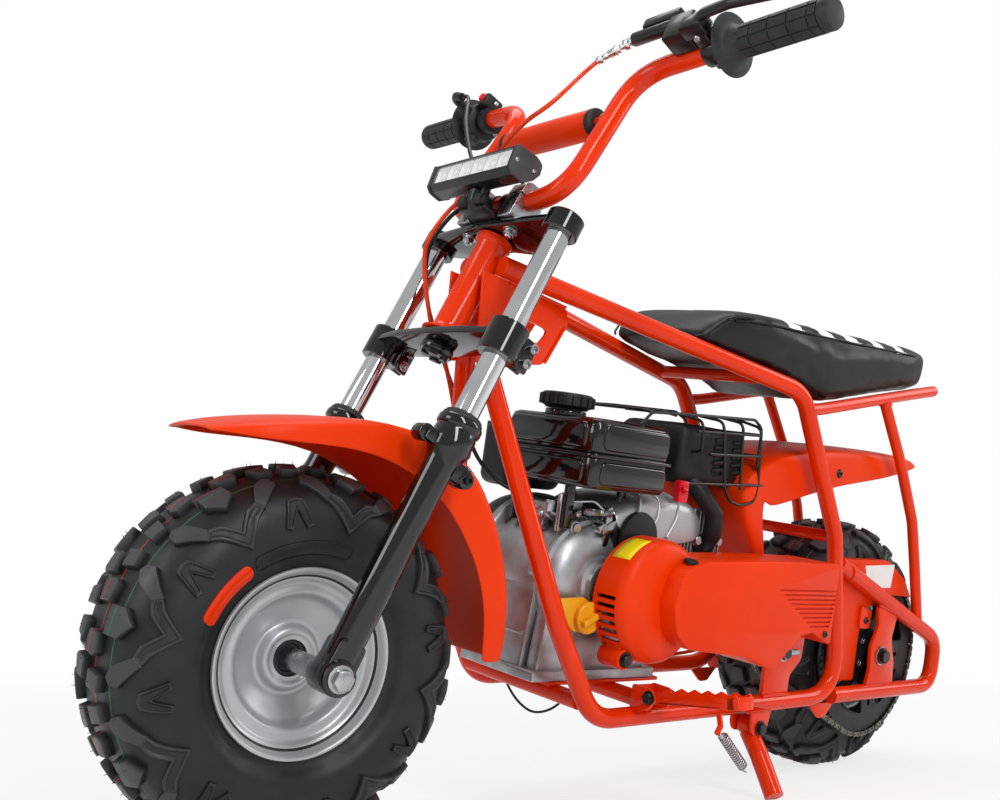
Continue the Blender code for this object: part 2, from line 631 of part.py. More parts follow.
def build_steering(mats, bike):
    turn = Matrix.Rotation(-RAKE, 4, "Y") @ Matrix.Rotation(STEER_TURN, 4, "Z")
    steering = empty("steering", (WHEELBASE, 0, TYRE_RADIUS), turn, bike)
    lug_half = 0.0172
    for side, word in ((1, "left"), (-1, "right")):
        y = side * LEG_SPREAD
        profile = [
            (SLIDER_TOP - SLIDER_SEAT_DEPTH, 0.0), (SLIDER_TOP - SLIDER_SEAT_DEPTH, STANCHION_RADIUS + GAP),
            (SLIDER_TOP, STANCHION_RADIUS + GAP), (SLIDER_TOP, 0.0200), (SLIDER_TOP - 0.022, 0.0200),
            (SLIDER_TOP - 0.024, SLIDER_RADIUS), (0.003, SLIDER_RADIUS), (0.003, 0.0),
        ]
        slider = finish(f"fork_slider_{word}", moved(revolve(profile, "Z", 20), (0, y, 0)), mats["black_gloss"], steering)
        lug = helper(rod((0, y - lug_half, 0), (0, y + lug_half, 0), SLIDER_RADIUS + 0.0015, 20))
        ear = helper(rod((-0.0225, y - side * 0.002, 0.238), (-0.0225, y - side * 0.0290, 0.238), 0.0070, 12))
        ear_low = helper(rod((-0.0225, y - side * 0.002, 0.216), (-0.0225, y - side * 0.0290, 0.216), 0.0070, 12))
        combine(slider, [lug, ear, ear_low])
        hole = helper(rod((0, y - 0.03, 0), (0, y + 0.03, 0), AXLE_RADIUS + GAP, 16))
        combine(slider, [hole], "DIFFERENCE")
        low = SLIDER_TOP - SLIDER_SEAT_DEPTH + GAP
        finish(f"stanchion_{word}", rod((0, y, low), (0, y, STANCHION_TOP), STANCHION_RADIUS, 20), mats["chrome"], steering)

    clamps = (
        # name, bottom, ring bottom, ring top, waist depth in front, behind
        ("upper_clamp", UPPER_CLAMP_Z, UPPER_CLAMP_Z - 0.006, STANCHION_TOP - 0.0040, 0.0270, 0.0270),
        ("lower_clamp", LOWER_CLAMP_Z, LOWER_CLAMP_Z - 0.016, LOWER_CLAMP_Z + 0.020, 0.0240, 0.0185),
    )
    for name, base, ring_low, ring_high, waist, behind in clamps:
        corners = [
            (0.016, -LEG_SPREAD, 0.01), (waist, -0.055, 0.03), (waist, 0.055, 0.03), (0.016, LEG_SPREAD, 0.01),
            (-0.016, LEG_SPREAD, 0.01), (-behind, 0.055, 0.03), (-behind, -0.055, 0.03), (-0.016, -LEG_SPREAD, 0.01),
        ]
        flat = plate(rounded(corners), 0.0, CLAMP_THICKNESS)
        bmesh.ops.rotate(flat, cent=(0, 0, 0), matrix=Matrix.Rotation(math.pi / 2, 3, "X"), verts=flat.verts)
        bmesh.ops.translate(flat, vec=(0, 0, base), verts=flat.verts)
        clamp = finish(name, flat, mats["black_satin"], steering)
        parts = [helper(rod((0, s * LEG_SPREAD, ring_low), (0, s * LEG_SPREAD, ring_high), CLAMP_RING_RADIUS, 20)) for s in (1, -1)]
        if name == "lower_clamp":
            parts.append(helper(rod((0, 0, LOWER_CLAMP_Z - 0.010), (0, 0, LOWER_CLAMP_Z + 0.004), 0.0170, 6)))
            for s in (1, -1):
                parts.append(helper(box((-0.036, s * LEG_SPREAD - 0.010, ring_low), (-0.010, s * LEG_SPREAD + 0.010, ring_high))))
        combine(clamp, parts)
        bores = [helper(rod((0, s * LEG_SPREAD, ring_low - 0.01), (0, s * LEG_SPREAD, ring_high + 0.01), STANCHION_RADIUS + GAP, 20)) for s in (1, -1)]
        bores.append(helper(rod((0, 0, base - 0.03), (0, 0, base + 0.03), STEM_RADIUS + GAP, 16)))
        combine(clamp, bores, "DIFFERENCE")

    stem = finish("steering_stem", rod((0, 0, LOWER_CLAMP_Z - 0.012), (0, 0, UPPER_CLAMP_Z + CLAMP_THICKNESS + 0.006), STEM_RADIUS, 16), mats["bare_steel"], steering)
    top_nut = helper(rod((0, 0, UPPER_CLAMP_Z + CLAMP_THICKNESS + GAP), (0, 0, UPPER_CLAMP_Z + CLAMP_THICKNESS + 0.0085), 0.0165, 6))
    low_nut = helper(rod((0, 0, LOWER_CLAMP_Z - 0.0103), (0, 0, LOWER_CLAMP_Z - 0.016), 0.0165, 6))
    combine(stem, [top_nut, low_nut])

    reach = LEG_SPREAD + lug_half
    axle = finish("front_axle", rod((0, -reach - 0.010, 0), (0, reach + 0.010, 0), AXLE_RADIUS, 16), mats["bare_steel"], steering)
    pieces = []
    for s in (1, -1):
        pieces.append(helper(rod((0, s * (HUB_HALF_WIDTH + 0.001), 0), (0, s * (LEG_SPREAD - lug_half - GAP), 0), 0.0105)))
        pieces.append(helper(rod((0, s * (reach + GAP), 0), (0, s * (reach + 0.0085), 0), 0.0125, 6)))
    combine(axle, pieces)

    half_bar = [
        (BAR_SEAT_X, 0.0, BAR_SEAT_Z), (BAR_SEAT_X, BAR_UPRIGHT_Y + 0.004, BAR_SEAT_Z),
        (BAR_BEND_X, BAR_UPRIGHT_Y, BAR_BEND_Z), (BAR_END_X, BAR_END_Y, BAR_END_Z),
    ]
    path = [(x, -y, z) for x, y, z in reversed(half_bar[1:])] + half_bar[1:]
    bar = finish("handlebar", tube(path, BAR_RADIUS, bend=0.045), mats["frame_red"], steering)
    cross_z = BAR_SEAT_Z + 0.62 * (BAR_BEND_Z - BAR_SEAT_Z)
    cross_x = BAR_SEAT_X + 0.62 * (BAR_BEND_X - BAR_SEAT_X)
    combine(bar, [helper(rod((cross_x, -BAR_UPRIGHT_Y, cross_z), (cross_x, BAR_UPRIGHT_Y, cross_z), 0.0060, 16))])
    pad_half = BAR_UPRIGHT_Y - BAR_RADIUS - 0.0040
    pad = finish("crossbar_pad", revolve([(-pad_half, 0.0063), (-pad_half, 0.0165), (pad_half, 0.0165), (pad_half, 0.0063)], "Y", 16), mats["frame_red"], steering)
    pad.location = (cross_x, 0, cross_z)

    for side, word in ((1, "left"), (-1, "right")):
        end = Vector((BAR_END_X, side * BAR_END_Y, BAR_END_Z))
        bend = Vector((BAR_BEND_X, side * BAR_UPRIGHT_Y, BAR_BEND_Z))
        along = (end - bend).normalized()
        seat = BAR_RADIUS + GAP
        profile = [(0.0, seat), (0.0, GRIP_FLANGE_RADIUS), (0.005, GRIP_FLANGE_RADIUS), (0.008, GRIP_RADIUS + 0.002)]
        profile += [(GRIP_LENGTH, GRIP_RADIUS), (GRIP_LENGTH + 0.004, GRIP_RADIUS - 0.003), (GRIP_LENGTH + 0.004, 0.0)]
        profile += [(GRIP_LENGTH + GAP, 0.0), (GRIP_LENGTH + GAP, seat)]
        grip = revolve(profile, "Y", 16)
        turn = Vector((0, 1, 0)).rotation_difference(along).to_matrix()
        bmesh.ops.rotate(grip, cent=(0, 0, 0), matrix=turn, verts=grip.verts)
        bmesh.ops.translate(grip, vec=end - along * GRIP_LENGTH, verts=grip.verts)
        finish(f"grip_{word}", grip, mats["rubber"], steering)

    risers = box((BAR_SEAT_X - 0.017, -0.050, UPPER_CLAMP_Z + CLAMP_THICKNESS + GAP), (BAR_SEAT_X + 0.017, -0.026, BAR_SEAT_Z + 0.018), 0.003, 1)
    other = box((BAR_SEAT_X - 0.017, 0.026, UPPER_CLAMP_Z + CLAMP_THICKNESS + GAP), (BAR_SEAT_X + 0.017, 0.050, BAR_SEAT_Z + 0.018), 0.003, 1)
    for word, bm in (("right", risers), ("left", other)):
        riser = finish(f"bar_clamp_{word}", bm, mats["aluminium"], steering)
        combine(riser, [helper(rod((BAR_SEAT_X, -0.07, BAR_SEAT_Z), (BAR_SEAT_X, 0.07, BAR_SEAT_Z), BAR_RADIUS + GAP, 16))], "DIFFERENCE")

    lamp = box((-0.0170, -0.0800, -0.0155), (0.0170, 0.0800, 0.0155), 0.003, 1)
    bmesh.ops.rotate(lamp, cent=(0, 0, 0), matrix=Matrix.Rotation(RAKE, 3, "Y"), verts=lamp.verts)
    bmesh.ops.translate(lamp, vec=(0.0530, 0, 0.5320), verts=lamp.verts)
    lamp_obj = finish("light_bar", lamp, mats["black_satin"], steering)
    foot = helper(box((0.0220, -0.012, UPPER_CLAMP_Z + CLAMP_THICKNESS + GAP), (0.0480, 0.012, 0.5330)))
    combine(lamp_obj, [foot])

    fender_sections = []
    stations = (
        # angle about the axle from straight ahead, radius of the crown, half width, side wall depth
        (31, 0.2400, 0.060, 0.008),
        (45, 0.2290, 0.082, 0.020),
        (64, 0.2270, 0.084, 0.026),
        (80, 0.2400, 0.078, 0.036),
        (98, 0.2560, 0.074, 0.054),
        (112, 0.2480, 0.078, 0.050),
        (126, 0.2330, 0.084, 0.036),
        (140, 0.2240, 0.084, 0.036),
        (154, 0.2170, 0.080, 0.030),
    )
    for angle, radius, half, depth in stations:
        a = math.radians(angle)
        out = Vector((math.cos(a), 0, math.sin(a)))
        section = []
        for share, drop in ((-1, depth), (-1, 0.010), (-0.88, 0.002), (-0.45, 0.0), (0.45, 0.0), (0.88, 0.002), (1, 0.010), (1, depth)):
            section.append(out * (radius - drop) + Vector((0, share * half, 0)))
        fender_sections.append(section)
    fender = finish("front_fender", thicken(loft(fender_sections), 0.003), mats["red_plastic"], steering, 40)
    bosses = []
    for s in (1, -1):
        for z in (0.238, 0.216):
            bosses.append(helper(rod((-0.0225, s * 0.0735, z), (-0.0225, s * (LEG_SPREAD - 0.0293), z), 0.0060, 12)))
    combine(fender, bosses, smooth=40)
    return steering


# Engine


def build_engine(mats, bike):
    cx, cz = CRANK
    aluminium = mats["aluminium"]
    case = finish("crankcase", box((0.450, -0.070, 0.1650), (0.648, 0.062, 0.3300), 0.010), aluminium, bike)
    foot = helper(box((0.440, -0.062, 0.1545), (0.610, 0.062, 0.1800)))
    boss = helper(rod((cx, 0.055, cz), (cx, 0.0750, cz), 0.052, 24))
    combine(case, [foot, boss])

    fins = box((0.376, -0.050, 0.300), (0.4497, 0.055, 0.355))
    cylinder = finish("cylinder", fins, aluminium, bike)
    layers = [helper(box((0.385 + i * 0.008, -0.060, 0.288), (0.3885 + i * 0.008, 0.062, 0.364))) for i in range(8)]
    combine(cylinder, layers)
    head = helper(box((0.332, -0.052, 0.296), (0.3770, 0.056, 0.358), 0.008))
    combine(cylinder, [head])

    fan = revolve([(-0.1450, 0.0), (-0.1450, 0.050), (-0.1380, 0.075), (-0.1050, 0.088), (-0.0703, 0.088), (-0.0703, 0.0)], "Y", 28)
    finish("recoil_cover", moved(fan, (cx, 0, cz)), mats["black_plastic"], bike)

    tank = box((0.4900, -0.0650, 0.3680), (0.6260, 0.0950, 0.4520), 0.014, 3)
    obj = finish("fuel_tank", tank, mats["black_gloss"], bike)
    seam = helper(box((0.4870, -0.0680, 0.4060), (0.6290, 0.0980, 0.4110)))
    combine(obj, [seam])
    neck = helper(rod((0.575, 0.005, 0.445), (0.575, 0.005, 0.4560), 0.020, 24))
    combine(obj, [neck])
    finish("fuel_cap", moved(revolve([(0.4563, 0.0), (0.4563, 0.029), (0.4700, 0.029), (0.4730, 0.026), (0.4730, 0.0)], "Z", 20), (0.575, 0.005, 0)), mats["black_plastic"], bike)
    legs = [helper(box((x, y, 0.3250), (x + 0.012, y + 0.012, 0.3720))) for x in (0.515, 0.590) for y in (-0.045, 0.035)]
    combine(obj, legs)
    combine(obj, [helper(box((0.40, -0.1, 0.30), (0.70, 0.1, 0.3303)))], "DIFFERENCE")

    finish("muffler", box((0.3250, -0.0550, 0.3800), (0.4500, 0.0600, 0.4680), 0.014, 3), mats["black_heat_paint"], bike)
    pipe = [(0.3520, 0.0300, 0.3583), (0.3520, 0.0300, 0.3797)]
    finish("exhaust_pipe", rod(pipe[0], pipe[1], 0.0120), mats["black_heat_paint"], bike)

    finish("air_cleaner", box((0.500, -0.1300, 0.3530), (0.600, -0.0683, 0.4350), 0.010), mats["black_plastic"], bike)
    finish("oil_dipstick", rod((0.6200, 0.0623, 0.2100), (0.6200, 0.0800, 0.2100), 0.0170, 12), mats["yellow_plastic"], bike)


# Drive covers and chain


def build_drive(mats, bike):
    cx, cz = CRANK
    red = mats["red_plastic"]
    drum = arc(cx, cz, 0.0640, 90, -90, 16)
    body = [
        (0.4300, 0.2060), (0.3200, 0.1900), (0.2950, 0.1840), (0.2860, 0.2300), (0.2620, 0.2450), (0.2250, 0.2450),
        (0.2250, 0.3080), (0.4300, 0.3230),
    ]
    obj = finish("drive_cover", plate(drum + body, 0.0760, 0.1520, 0.008), red, bike)
    slots = [helper(box((0.609, 0.085, 0.214 + i * 0.014), (0.66, 0.140, 0.220 + i * 0.014))) for i in range(7)]
    combine(obj, slots, "DIFFERENCE")

    jx, jz = JACKSHAFT
    shaft = finish("jackshaft", rod((jx, -0.1000, jz), (jx, 0.1250, jz), 0.0080, 20), mats["bare_steel"], bike)
    inner = helper(rod((jx, CHAIN_Y - 0.0020, jz), (jx, CHAIN_Y + 0.0020, jz), JACKSHAFT_SPROCKET_RADIUS - 0.0010, 24))
    combine(shaft, [inner])
    ear_outline = rounded([
        (jx + 0.034, BOTTOM_RAIL_Z + 0.006, 0.0), (jx + 0.034, jz + 0.020, 0.018), (jx - 0.040, jz + 0.026, 0.010),
        (jx - 0.044, jz - 0.012, 0.012), (jx - 0.020, BOTTOM_RAIL_Z + 0.006, 0.0),
    ])
    for side, word in ((1, "left"), (-1, "right")):
        y = side * (RAIL_Y + 0.004)
        ear = finish(f"jackshaft_ear_{word}", plate(ear_outline, y - 0.003, y + 0.003), mats["frame_red"], bike)
        cuts = [helper(tube(side_loop_points(side), TUBE_RADIUS + GAP, bend=0.055)), helper(rod((jx, y - 0.02, jz), (jx, y + 0.02, jz), 0.0083, 20))]
        combine(ear, cuts, "DIFFERENCE")

    big = SPROCKET_RADIUS
    small = JACKSHAFT_SPROCKET_RADIUS
    span = math.hypot(jx, jz - TYRE_RADIUS)
    tilt = math.degrees(math.atan2(jz - TYRE_RADIUS, jx))
    lean = math.degrees(math.acos((big - small) / span))

    def run(offset, steps):
        back = arc(0, TYRE_RADIUS, big + offset, tilt + lean, tilt + 360 - lean, steps)
        front = arc(jx, jz, small + offset, tilt - lean, tilt + lean, steps // 3)
        return back + front

    outer = run(CHAIN_HEIGHT, 30)
    inner = run(0.0, 30)
    bm = bmesh.new()
    rings = []
    for outline, y in ((outer, CHAIN_Y - CHAIN_WIDTH / 2), (outer, CHAIN_Y + CHAIN_WIDTH / 2), (inner, CHAIN_Y + CHAIN_WIDTH / 2), (inner, CHAIN_Y - CHAIN_WIDTH / 2)):
        rings.append([bm.verts.new((x, y, z)) for x, z in outline])
    count = len(outer)
    for a, b in zip(rings, rings[1:] + rings[:1]):
        for i in range(count):
            j = (i + 1) % count
            bm.faces.new((a[i], a[j], b[j], b[i]))
    finish("chain", bm, mats["chain_steel"], bike)

    guard_outline = rounded([
        (0.1200, 0.3220, 0.010), (-0.0300, 0.3130, 0.050), (-0.0700, 0.2500, 0.010), (-0.0300, 0.2350, 0.010),
        (0.0200, 0.2760, 0.0), (0.0900, 0.2700, 0.0), (0.1100, 0.1420, 0.010), (0.1400, 0.1420, 0.008), (0.1500, 0.2850, 0.010),
    ])
    finish("chain_guard", plate(guard_outline, 0.0880, 0.0900), red, bike)

    fender_sections = []
    stations = (
        # x and z of the crown, half width, side wall depth
        (0.2750, 0.2900, 0.070, 0.020),
        (0.3050, 0.3500, 0.078, 0.030),
        (0.2850, 0.4100, 0.080, 0.045),
        (0.2200, 0.4430, 0.080, 0.060),
        (0.1300, 0.4580, 0.080, 0.060),
        (0.0400, 0.4650, 0.080, 0.040),
        (-0.0600, 0.4680, 0.078, 0.025),
        (-0.1200, 0.4640, 0.060, 0.010),
    )
    for i, (x, z, half, depth) in enumerate(stations):
        before = Vector(stations[max(i - 1, 0)][:2])
        after = Vector(stations[min(i + 1, len(stations) - 1)][:2])
        along = (after - before).normalized()
        out = Vector((along.y, 0, -along.x))
        section = []
        for share, drop in ((-1, depth), (-1, 0.012), (-0.85, 0.003), (-0.4, 0.0), (0.4, 0.0), (0.85, 0.003), (1, 0.012), (1, depth)):
            section.append(Vector((x, share * half, z)) - out * drop)
        fender_sections.append(section)
    fender = finish("rear_fender", thicken(loft(fender_sections), 0.003), red, bike, 40)
    low_y, high_y = 0.0760, 0.0930
    combine(fender, [
        helper(box((0.1900, min(s * low_y, s * high_y), 0.3990), (0.2140, max(s * low_y, s * high_y), 0.4180)))
        for s in (1, -1)
    ])
    combine(fender, [helper(tube(side_loop_points(s), TUBE_RADIUS + GAP, bend=0.055)) for s in (1, -1)], "DIFFERENCE")


# Seat and stand


def build_seat(mats, bike):
    stations = (
        # x, half width, bottom, top
        (0.5350, 0.040, 0.5740, 0.5900),
        (0.5100, 0.062, 0.5680, 0.6010),
        (0.4200, 0.086, 0.5590, 0.6080),
        (0.3000, 0.102, 0.5480, 0.6130),
        (0.2200, 0.106, 0.5220, 0.6160),
        (0.1000, 0.106, 0.5470, 0.6220),
        (0.0000, 0.102, 0.5690, 0.6280),
        (-0.0500, 0.092, 0.5800, 0.6280),
        (-0.0720, 0.070, 0.5900, 0.6200),
    )
    sections = []
    for x, half, low, high in stations:
        tall = high - low
        section = []
        for share, rise in ((-0.80, 0.0), (-1.0, 0.25), (-1.0, 0.62), (-0.86, 0.90), (-0.45, 1.0), (0.45, 1.0), (0.86, 0.90), (1.0, 0.62), (1.0, 0.25), (0.80, 0.0)):
            section.append((x, share * half, low + rise * tall))
        sections.append(section)
    seat = finish("seat", loft(sections, True), mats["seat_vinyl"], bike, 45)
    pads = [helper(box((0.0950, min(s * 0.090, s * 0.099), 0.5240), (0.1900, max(s * 0.090, s * 0.099), 0.5700))) for s in (1, -1)]
    combine(seat, pads, smooth=45)
    rails = [helper(tube(seat_rail_points(s), THIN_TUBE_RADIUS + GAP, bend=0.03)) for s in (1, -1)]
    combine(seat, rails, "DIFFERENCE", smooth=45)


def lean_height(place):
    """Height over the road, up to a constant, of a place in the upright bike's axes once it leans."""
    return place.z * math.cos(LEAN) - place.y * math.sin(LEAN)


def lowest_height(obj, bike):
    to_bike = bike.matrix_world.inverted() @ obj.matrix_world
    return min(lean_height(to_bike @ vertex.co) for vertex in obj.data.vertices)


def build_stand(mats, bike, road):
    """The side stand's leg is as long as it takes for its foot to reach the road."""
    pivot = Vector(STAND_PIVOT)
    leg = Vector(STAND_LEG_DIRECTION).normalized()
    length = (lean_height(pivot) - STAND_FOOT_RADIUS - road) / -lean_height(leg)
    hinge = empty("side_stand_hinge", pivot, parent=bike)
    bm = rod(leg * 0.0110, leg * length, STAND_LEG_RADIUS, 16)
    stand = finish("side_stand", bm, mats["frame_red"], hinge)
    across = leg.cross(Vector((-1, 0, 0))).normalized()
    combine(stand, [helper(rod(across * -0.0060, across * 0.0060, 0.0120, 16))])
    half_foot = Vector((STAND_FOOT_HALF, 0, 0))
    foot = helper(rod(leg * length - half_foot, leg * length + half_foot, STAND_FOOT_RADIUS, 16))
    combine(stand, [foot])
    combine(stand, [helper(rod(across * -0.02, across * 0.02, 0.0055, 14))], "DIFFERENCE")
    bracket = finish("stand_bracket", box((0.3000, RAIL_Y - 0.006, 0.0860), (0.3400, RAIL_Y + 0.006, 0.1240)), mats["frame_red"], bike)
    pin = helper(rod(pivot - across * 0.0200, pivot + across * 0.0100, 0.0050, 14))
    pin_head = helper(rod(pivot + across * 0.0065, pivot + across * 0.0110, 0.0085, 14))
    combine(bracket, [pin, pin_head])
    combine(bracket, [helper(tube(side_loop_points(1), TUBE_RADIUS + GAP, bend=0.055))], "DIFFERENCE")


def centre_on_origin(bike):
    """Moves the machine so that the origin is the middle of its footprint, on the road."""
    bpy.context.view_layer.update()
    places = [
        obj.matrix_world @ vertex.co
        for obj in bpy.context.scene.objects
        if obj.type == "MESH"
        for vertex in obj.data.vertices
    ]
    low = Vector([min(p[i] for p in places) for i in range(3)])
    high = Vector([max(p[i] for p in places) for i in range(3)])
    shift = Vector((-(low.x + high.x) / 2, -(low.y + high.y) / 2, -low.z))
    bike.matrix_local = Matrix.Translation(shift) @ bike.matrix_local


def main():
    for obj in list(bpy.data.objects):
        bpy.data.objects.remove(obj)
    mats = {
        "frame_red": material("frame_red", "E8380D", 0.28),
        "red_plastic": material("red_plastic", "EC3E14", 0.35),
        "black_gloss": material("black_gloss", "0B0B0C", 0.15),
        "black_satin": material("black_satin", "1A1B1C", 0.40),
        "black_steel": material("black_steel", "202123", 0.45, 0.6),
        "black_plastic": material("black_plastic", "17181A", 0.50),
        "black_heat_paint": material("black_heat_paint", "161617", 0.60),
        "bare_steel": material("bare_steel", "A9ABAE", 0.30, 1.0),
        "chain_steel": material("chain_steel", "77736B", 0.40, 1.0),
        "chrome": material("chrome", "DADCDF", 0.06, 1.0),
        "aluminium": material("aluminium", "A7AAAD", 0.45, 1.0),
        "silver_paint": material("silver_paint", "C3C5C8", 0.35, 0.7),
        "tyre": material("tyre", "1C1D1F", 0.70),
        "rubber": material("rubber", "26282B", 0.75),
        "seat_vinyl": material("seat_vinyl", "202224", 0.60),
        "yellow_plastic": material("yellow_plastic", "F2B61C", 0.40),
    }
    bike = empty("bike")
    steering = build_steering(mats, bike)
    build_wheels(mats, bike, steering)
    build_frame(mats, bike)
    build_footpegs(mats, bike)
    build_engine(mats, bike)
    build_drive(mats, bike)
    build_seat(mats, bike)
    bpy.context.view_layer.update()
    heights = [lowest_height(bpy.data.objects[name], bike) for name in ("rear_tyre", "front_tyre")]
    build_stand(mats, bike, heights[0] + (heights[1] - heights[0]) * STAND_PIVOT[0] / WHEELBASE)
    pitch = math.atan2(heights[1] - heights[0], WHEELBASE)
    bike.matrix_local = Matrix.Rotation(pitch, 4, "Y") @ Matrix.Rotation(-LEAN, 4, "X")
    centre_on_origin(bike)


main()
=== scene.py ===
# %% [markdown]
# # A small off-road minibike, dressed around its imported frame
#
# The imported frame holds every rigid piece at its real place. This script keeps those places and makes the
# surfaces that the eye sees: pressed rims, lugged tyres, smooth bent tubes, castings, moulded covers and a
# stitched seat. Each cell makes one piece or one finish, and says first what it is on the real machine.

# %% Load the frame
import json
import math
import bmesh
import bpy
from mathutils import Matrix, Vector


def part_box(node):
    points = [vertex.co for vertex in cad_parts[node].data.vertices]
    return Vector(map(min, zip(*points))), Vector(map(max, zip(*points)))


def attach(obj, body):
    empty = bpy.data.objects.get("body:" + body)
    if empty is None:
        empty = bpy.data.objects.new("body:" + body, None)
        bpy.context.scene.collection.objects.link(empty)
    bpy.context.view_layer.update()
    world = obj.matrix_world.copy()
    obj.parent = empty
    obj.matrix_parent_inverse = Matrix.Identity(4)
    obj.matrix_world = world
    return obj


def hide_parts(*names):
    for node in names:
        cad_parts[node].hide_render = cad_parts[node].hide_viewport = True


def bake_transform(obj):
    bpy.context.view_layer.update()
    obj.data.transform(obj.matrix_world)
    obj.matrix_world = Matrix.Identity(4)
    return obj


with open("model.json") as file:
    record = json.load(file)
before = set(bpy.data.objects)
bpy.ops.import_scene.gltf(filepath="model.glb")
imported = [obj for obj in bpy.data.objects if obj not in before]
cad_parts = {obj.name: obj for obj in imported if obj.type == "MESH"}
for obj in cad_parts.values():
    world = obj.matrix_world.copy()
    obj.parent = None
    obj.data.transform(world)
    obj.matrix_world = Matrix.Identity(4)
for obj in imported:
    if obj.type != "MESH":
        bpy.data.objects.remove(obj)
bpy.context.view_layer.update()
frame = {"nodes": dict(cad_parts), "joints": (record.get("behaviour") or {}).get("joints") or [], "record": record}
print("nodes in the frame:", len(frame["nodes"]))

# %% [markdown]
# ## Axes to work in
#
# The machine leans on its side stand, with its fork turned a little to the right. It is easier to model it
# upright, so three sets of axes are worked out from the frame's own joints: the upright bike (x forward,
# y to the rider's left, z up, rear axle above the origin), the fork (z up the steering axis, origin at the
# front axle) and each wheel. Lengths in tables are millimetres, as a workshop drawing gives them.

# %% Axes from the joints
MM = 0.001
TYRE_RADIUS = 180 * MM


def axes(x, y, z, origin):
    """The matrix of a set of axes with that origin."""
    turned = Matrix((x, y, z)).transposed().to_4x4()
    return Matrix.Translation(origin) @ turned


joints = {joint["name"]: joint for joint in frame["joints"]}
rear_hub = Vector(joints["rear_wheel_spin"]["pos_m"])
front_hub = Vector(joints["front_wheel_spin"]["pos_m"])
left = Vector(joints["rear_wheel_spin"]["axis"]).normalized()
ahead = (front_hub - rear_hub).normalized()
up = ahead.cross(left).normalized()
BIKE = axes(ahead, left, up, rear_hub - up * TYRE_RADIUS)
fork_up = Vector(joints["steering_turn"]["axis"]).normalized()
fork_left = Vector(joints["front_wheel_spin"]["axis"]).normalized()
FORK = axes(fork_left.cross(fork_up), fork_left, fork_up, front_hub)
REAR = axes(ahead, left, up, rear_hub)
print("wheelbase in mm:", round((front_hub - rear_hub).length / MM))


def mm(*values):
    return Vector(values) * MM


# %% [markdown]
# ## Camera
#
# The photograph was taken from ahead and to the left, a hand's breadth above the ground and looking slightly
# up. The camera stands where the outlines of both wheels, the fork and the frame tubes all fit the picture.

# %% Camera
CAMERA_AT = (1.5257, 0.9689, 0.4116)
CAMERA_LOOKS = (-0.6748, -0.7375, 0.0266)
CAMERA_RIGHT = (-0.7282, 0.6714, 0.1377)
SENSOR = 36.0
FOCAL_SHARE = 1.16419
OPTICAL_AXIS = (530.54, 411.62)
FRAME_SIZE = (1000, 800)

camera_data = bpy.data.cameras.new("camera")
camera_data.sensor_width = SENSOR
camera_data.lens = SENSOR * FOCAL_SHARE
camera_data.shift_x = (FRAME_SIZE[0] / 2 - OPTICAL_AXIS[0]) / FRAME_SIZE[0]
camera_data.shift_y = (OPTICAL_AXIS[1] - FRAME_SIZE[1] / 2) / FRAME_SIZE[0]
camera = bpy.data.objects.new("camera", camera_data)
bpy.context.scene.collection.objects.link(camera)
looks = Vector(CAMERA_LOOKS).normalized()
right = Vector(CAMERA_RIGHT).normalized()
camera.matrix_world = BIKE @ axes(right, right.cross(looks), -looks, Vector(CAMERA_AT))
bpy.context.scene.camera = camera
print("camera height in mm:", round(camera.matrix_world.translation.z / MM))

# %% [markdown]
# ## Shader nodes
#
# Every finish is procedural. One small function adds a node, sets its options and feeds its sockets, so that
# a finish reads as a list of what happens to the surface. Colours are written as sRGB hex codes, which one
# function turns to the linear values that a renderer works in.

# %% Node helper


def linear(code, alpha=1.0):
    """Linear colour of an sRGB hex code."""
    channels = [int(code[i:i + 2], 16) / 255 for i in (0, 2, 4)]
    return [c / 12.92 if c <= 0.04045 else ((c + 0.055) / 1.055) ** 2.4 for c in channels] + [alpha]


def add(tree, kind, inputs=None, **options):
    """Adds a shader node. An input's value is a number, a colour or the socket that feeds it."""
    made = tree.nodes.new("ShaderNode" + kind)
    for key, value in options.items():
        setattr(made, key, value)
    for key, value in (inputs or {}).items():
        if isinstance(value, bpy.types.NodeSocket):
            tree.links.new(value, made.inputs[key])
        else:
            made.inputs[key].default_value = value
    return made


def ramp(tree, fac, stops, smooth="LINEAR"):
    """A colour ramp whose stops are (position, hex colour or grey level)."""
    made = add(tree, "ValToRGB", {"Fac": fac})
    made.color_ramp.interpolation = smooth
    elements = made.color_ramp.elements
    while len(elements) < len(stops):
        elements.new(0.5)
    for element, (position, colour) in zip(elements, stops):
        element.position = position
        element.color = linear(colour) if isinstance(colour, str) else (colour, colour, colour, 1.0)
    return made.outputs["Color"]


# %% [markdown]
# ## Finishes
#
# Most of the machine is one of a few surfaces: powder coat, moulded plastic, wet paint, bare or plated metal
# and rubber. They share a build: the colour drifts a little in patches, the roughness drifts with another
# patch, and a fine bump gives the skin of that process. The table says how large each of these is in
# millimetres. Where the real grain is finer than a pixel of the picture, it is drawn as coarse as it needs to
# show.

# %% Shared finish
COAT_ROUGHNESS = 0.06
PLAIN_GLOSS, METAL_GLOSS, RED_GLOSS = 0.35, 0.5, 0.15
GLASS_ALPHA = 0.12


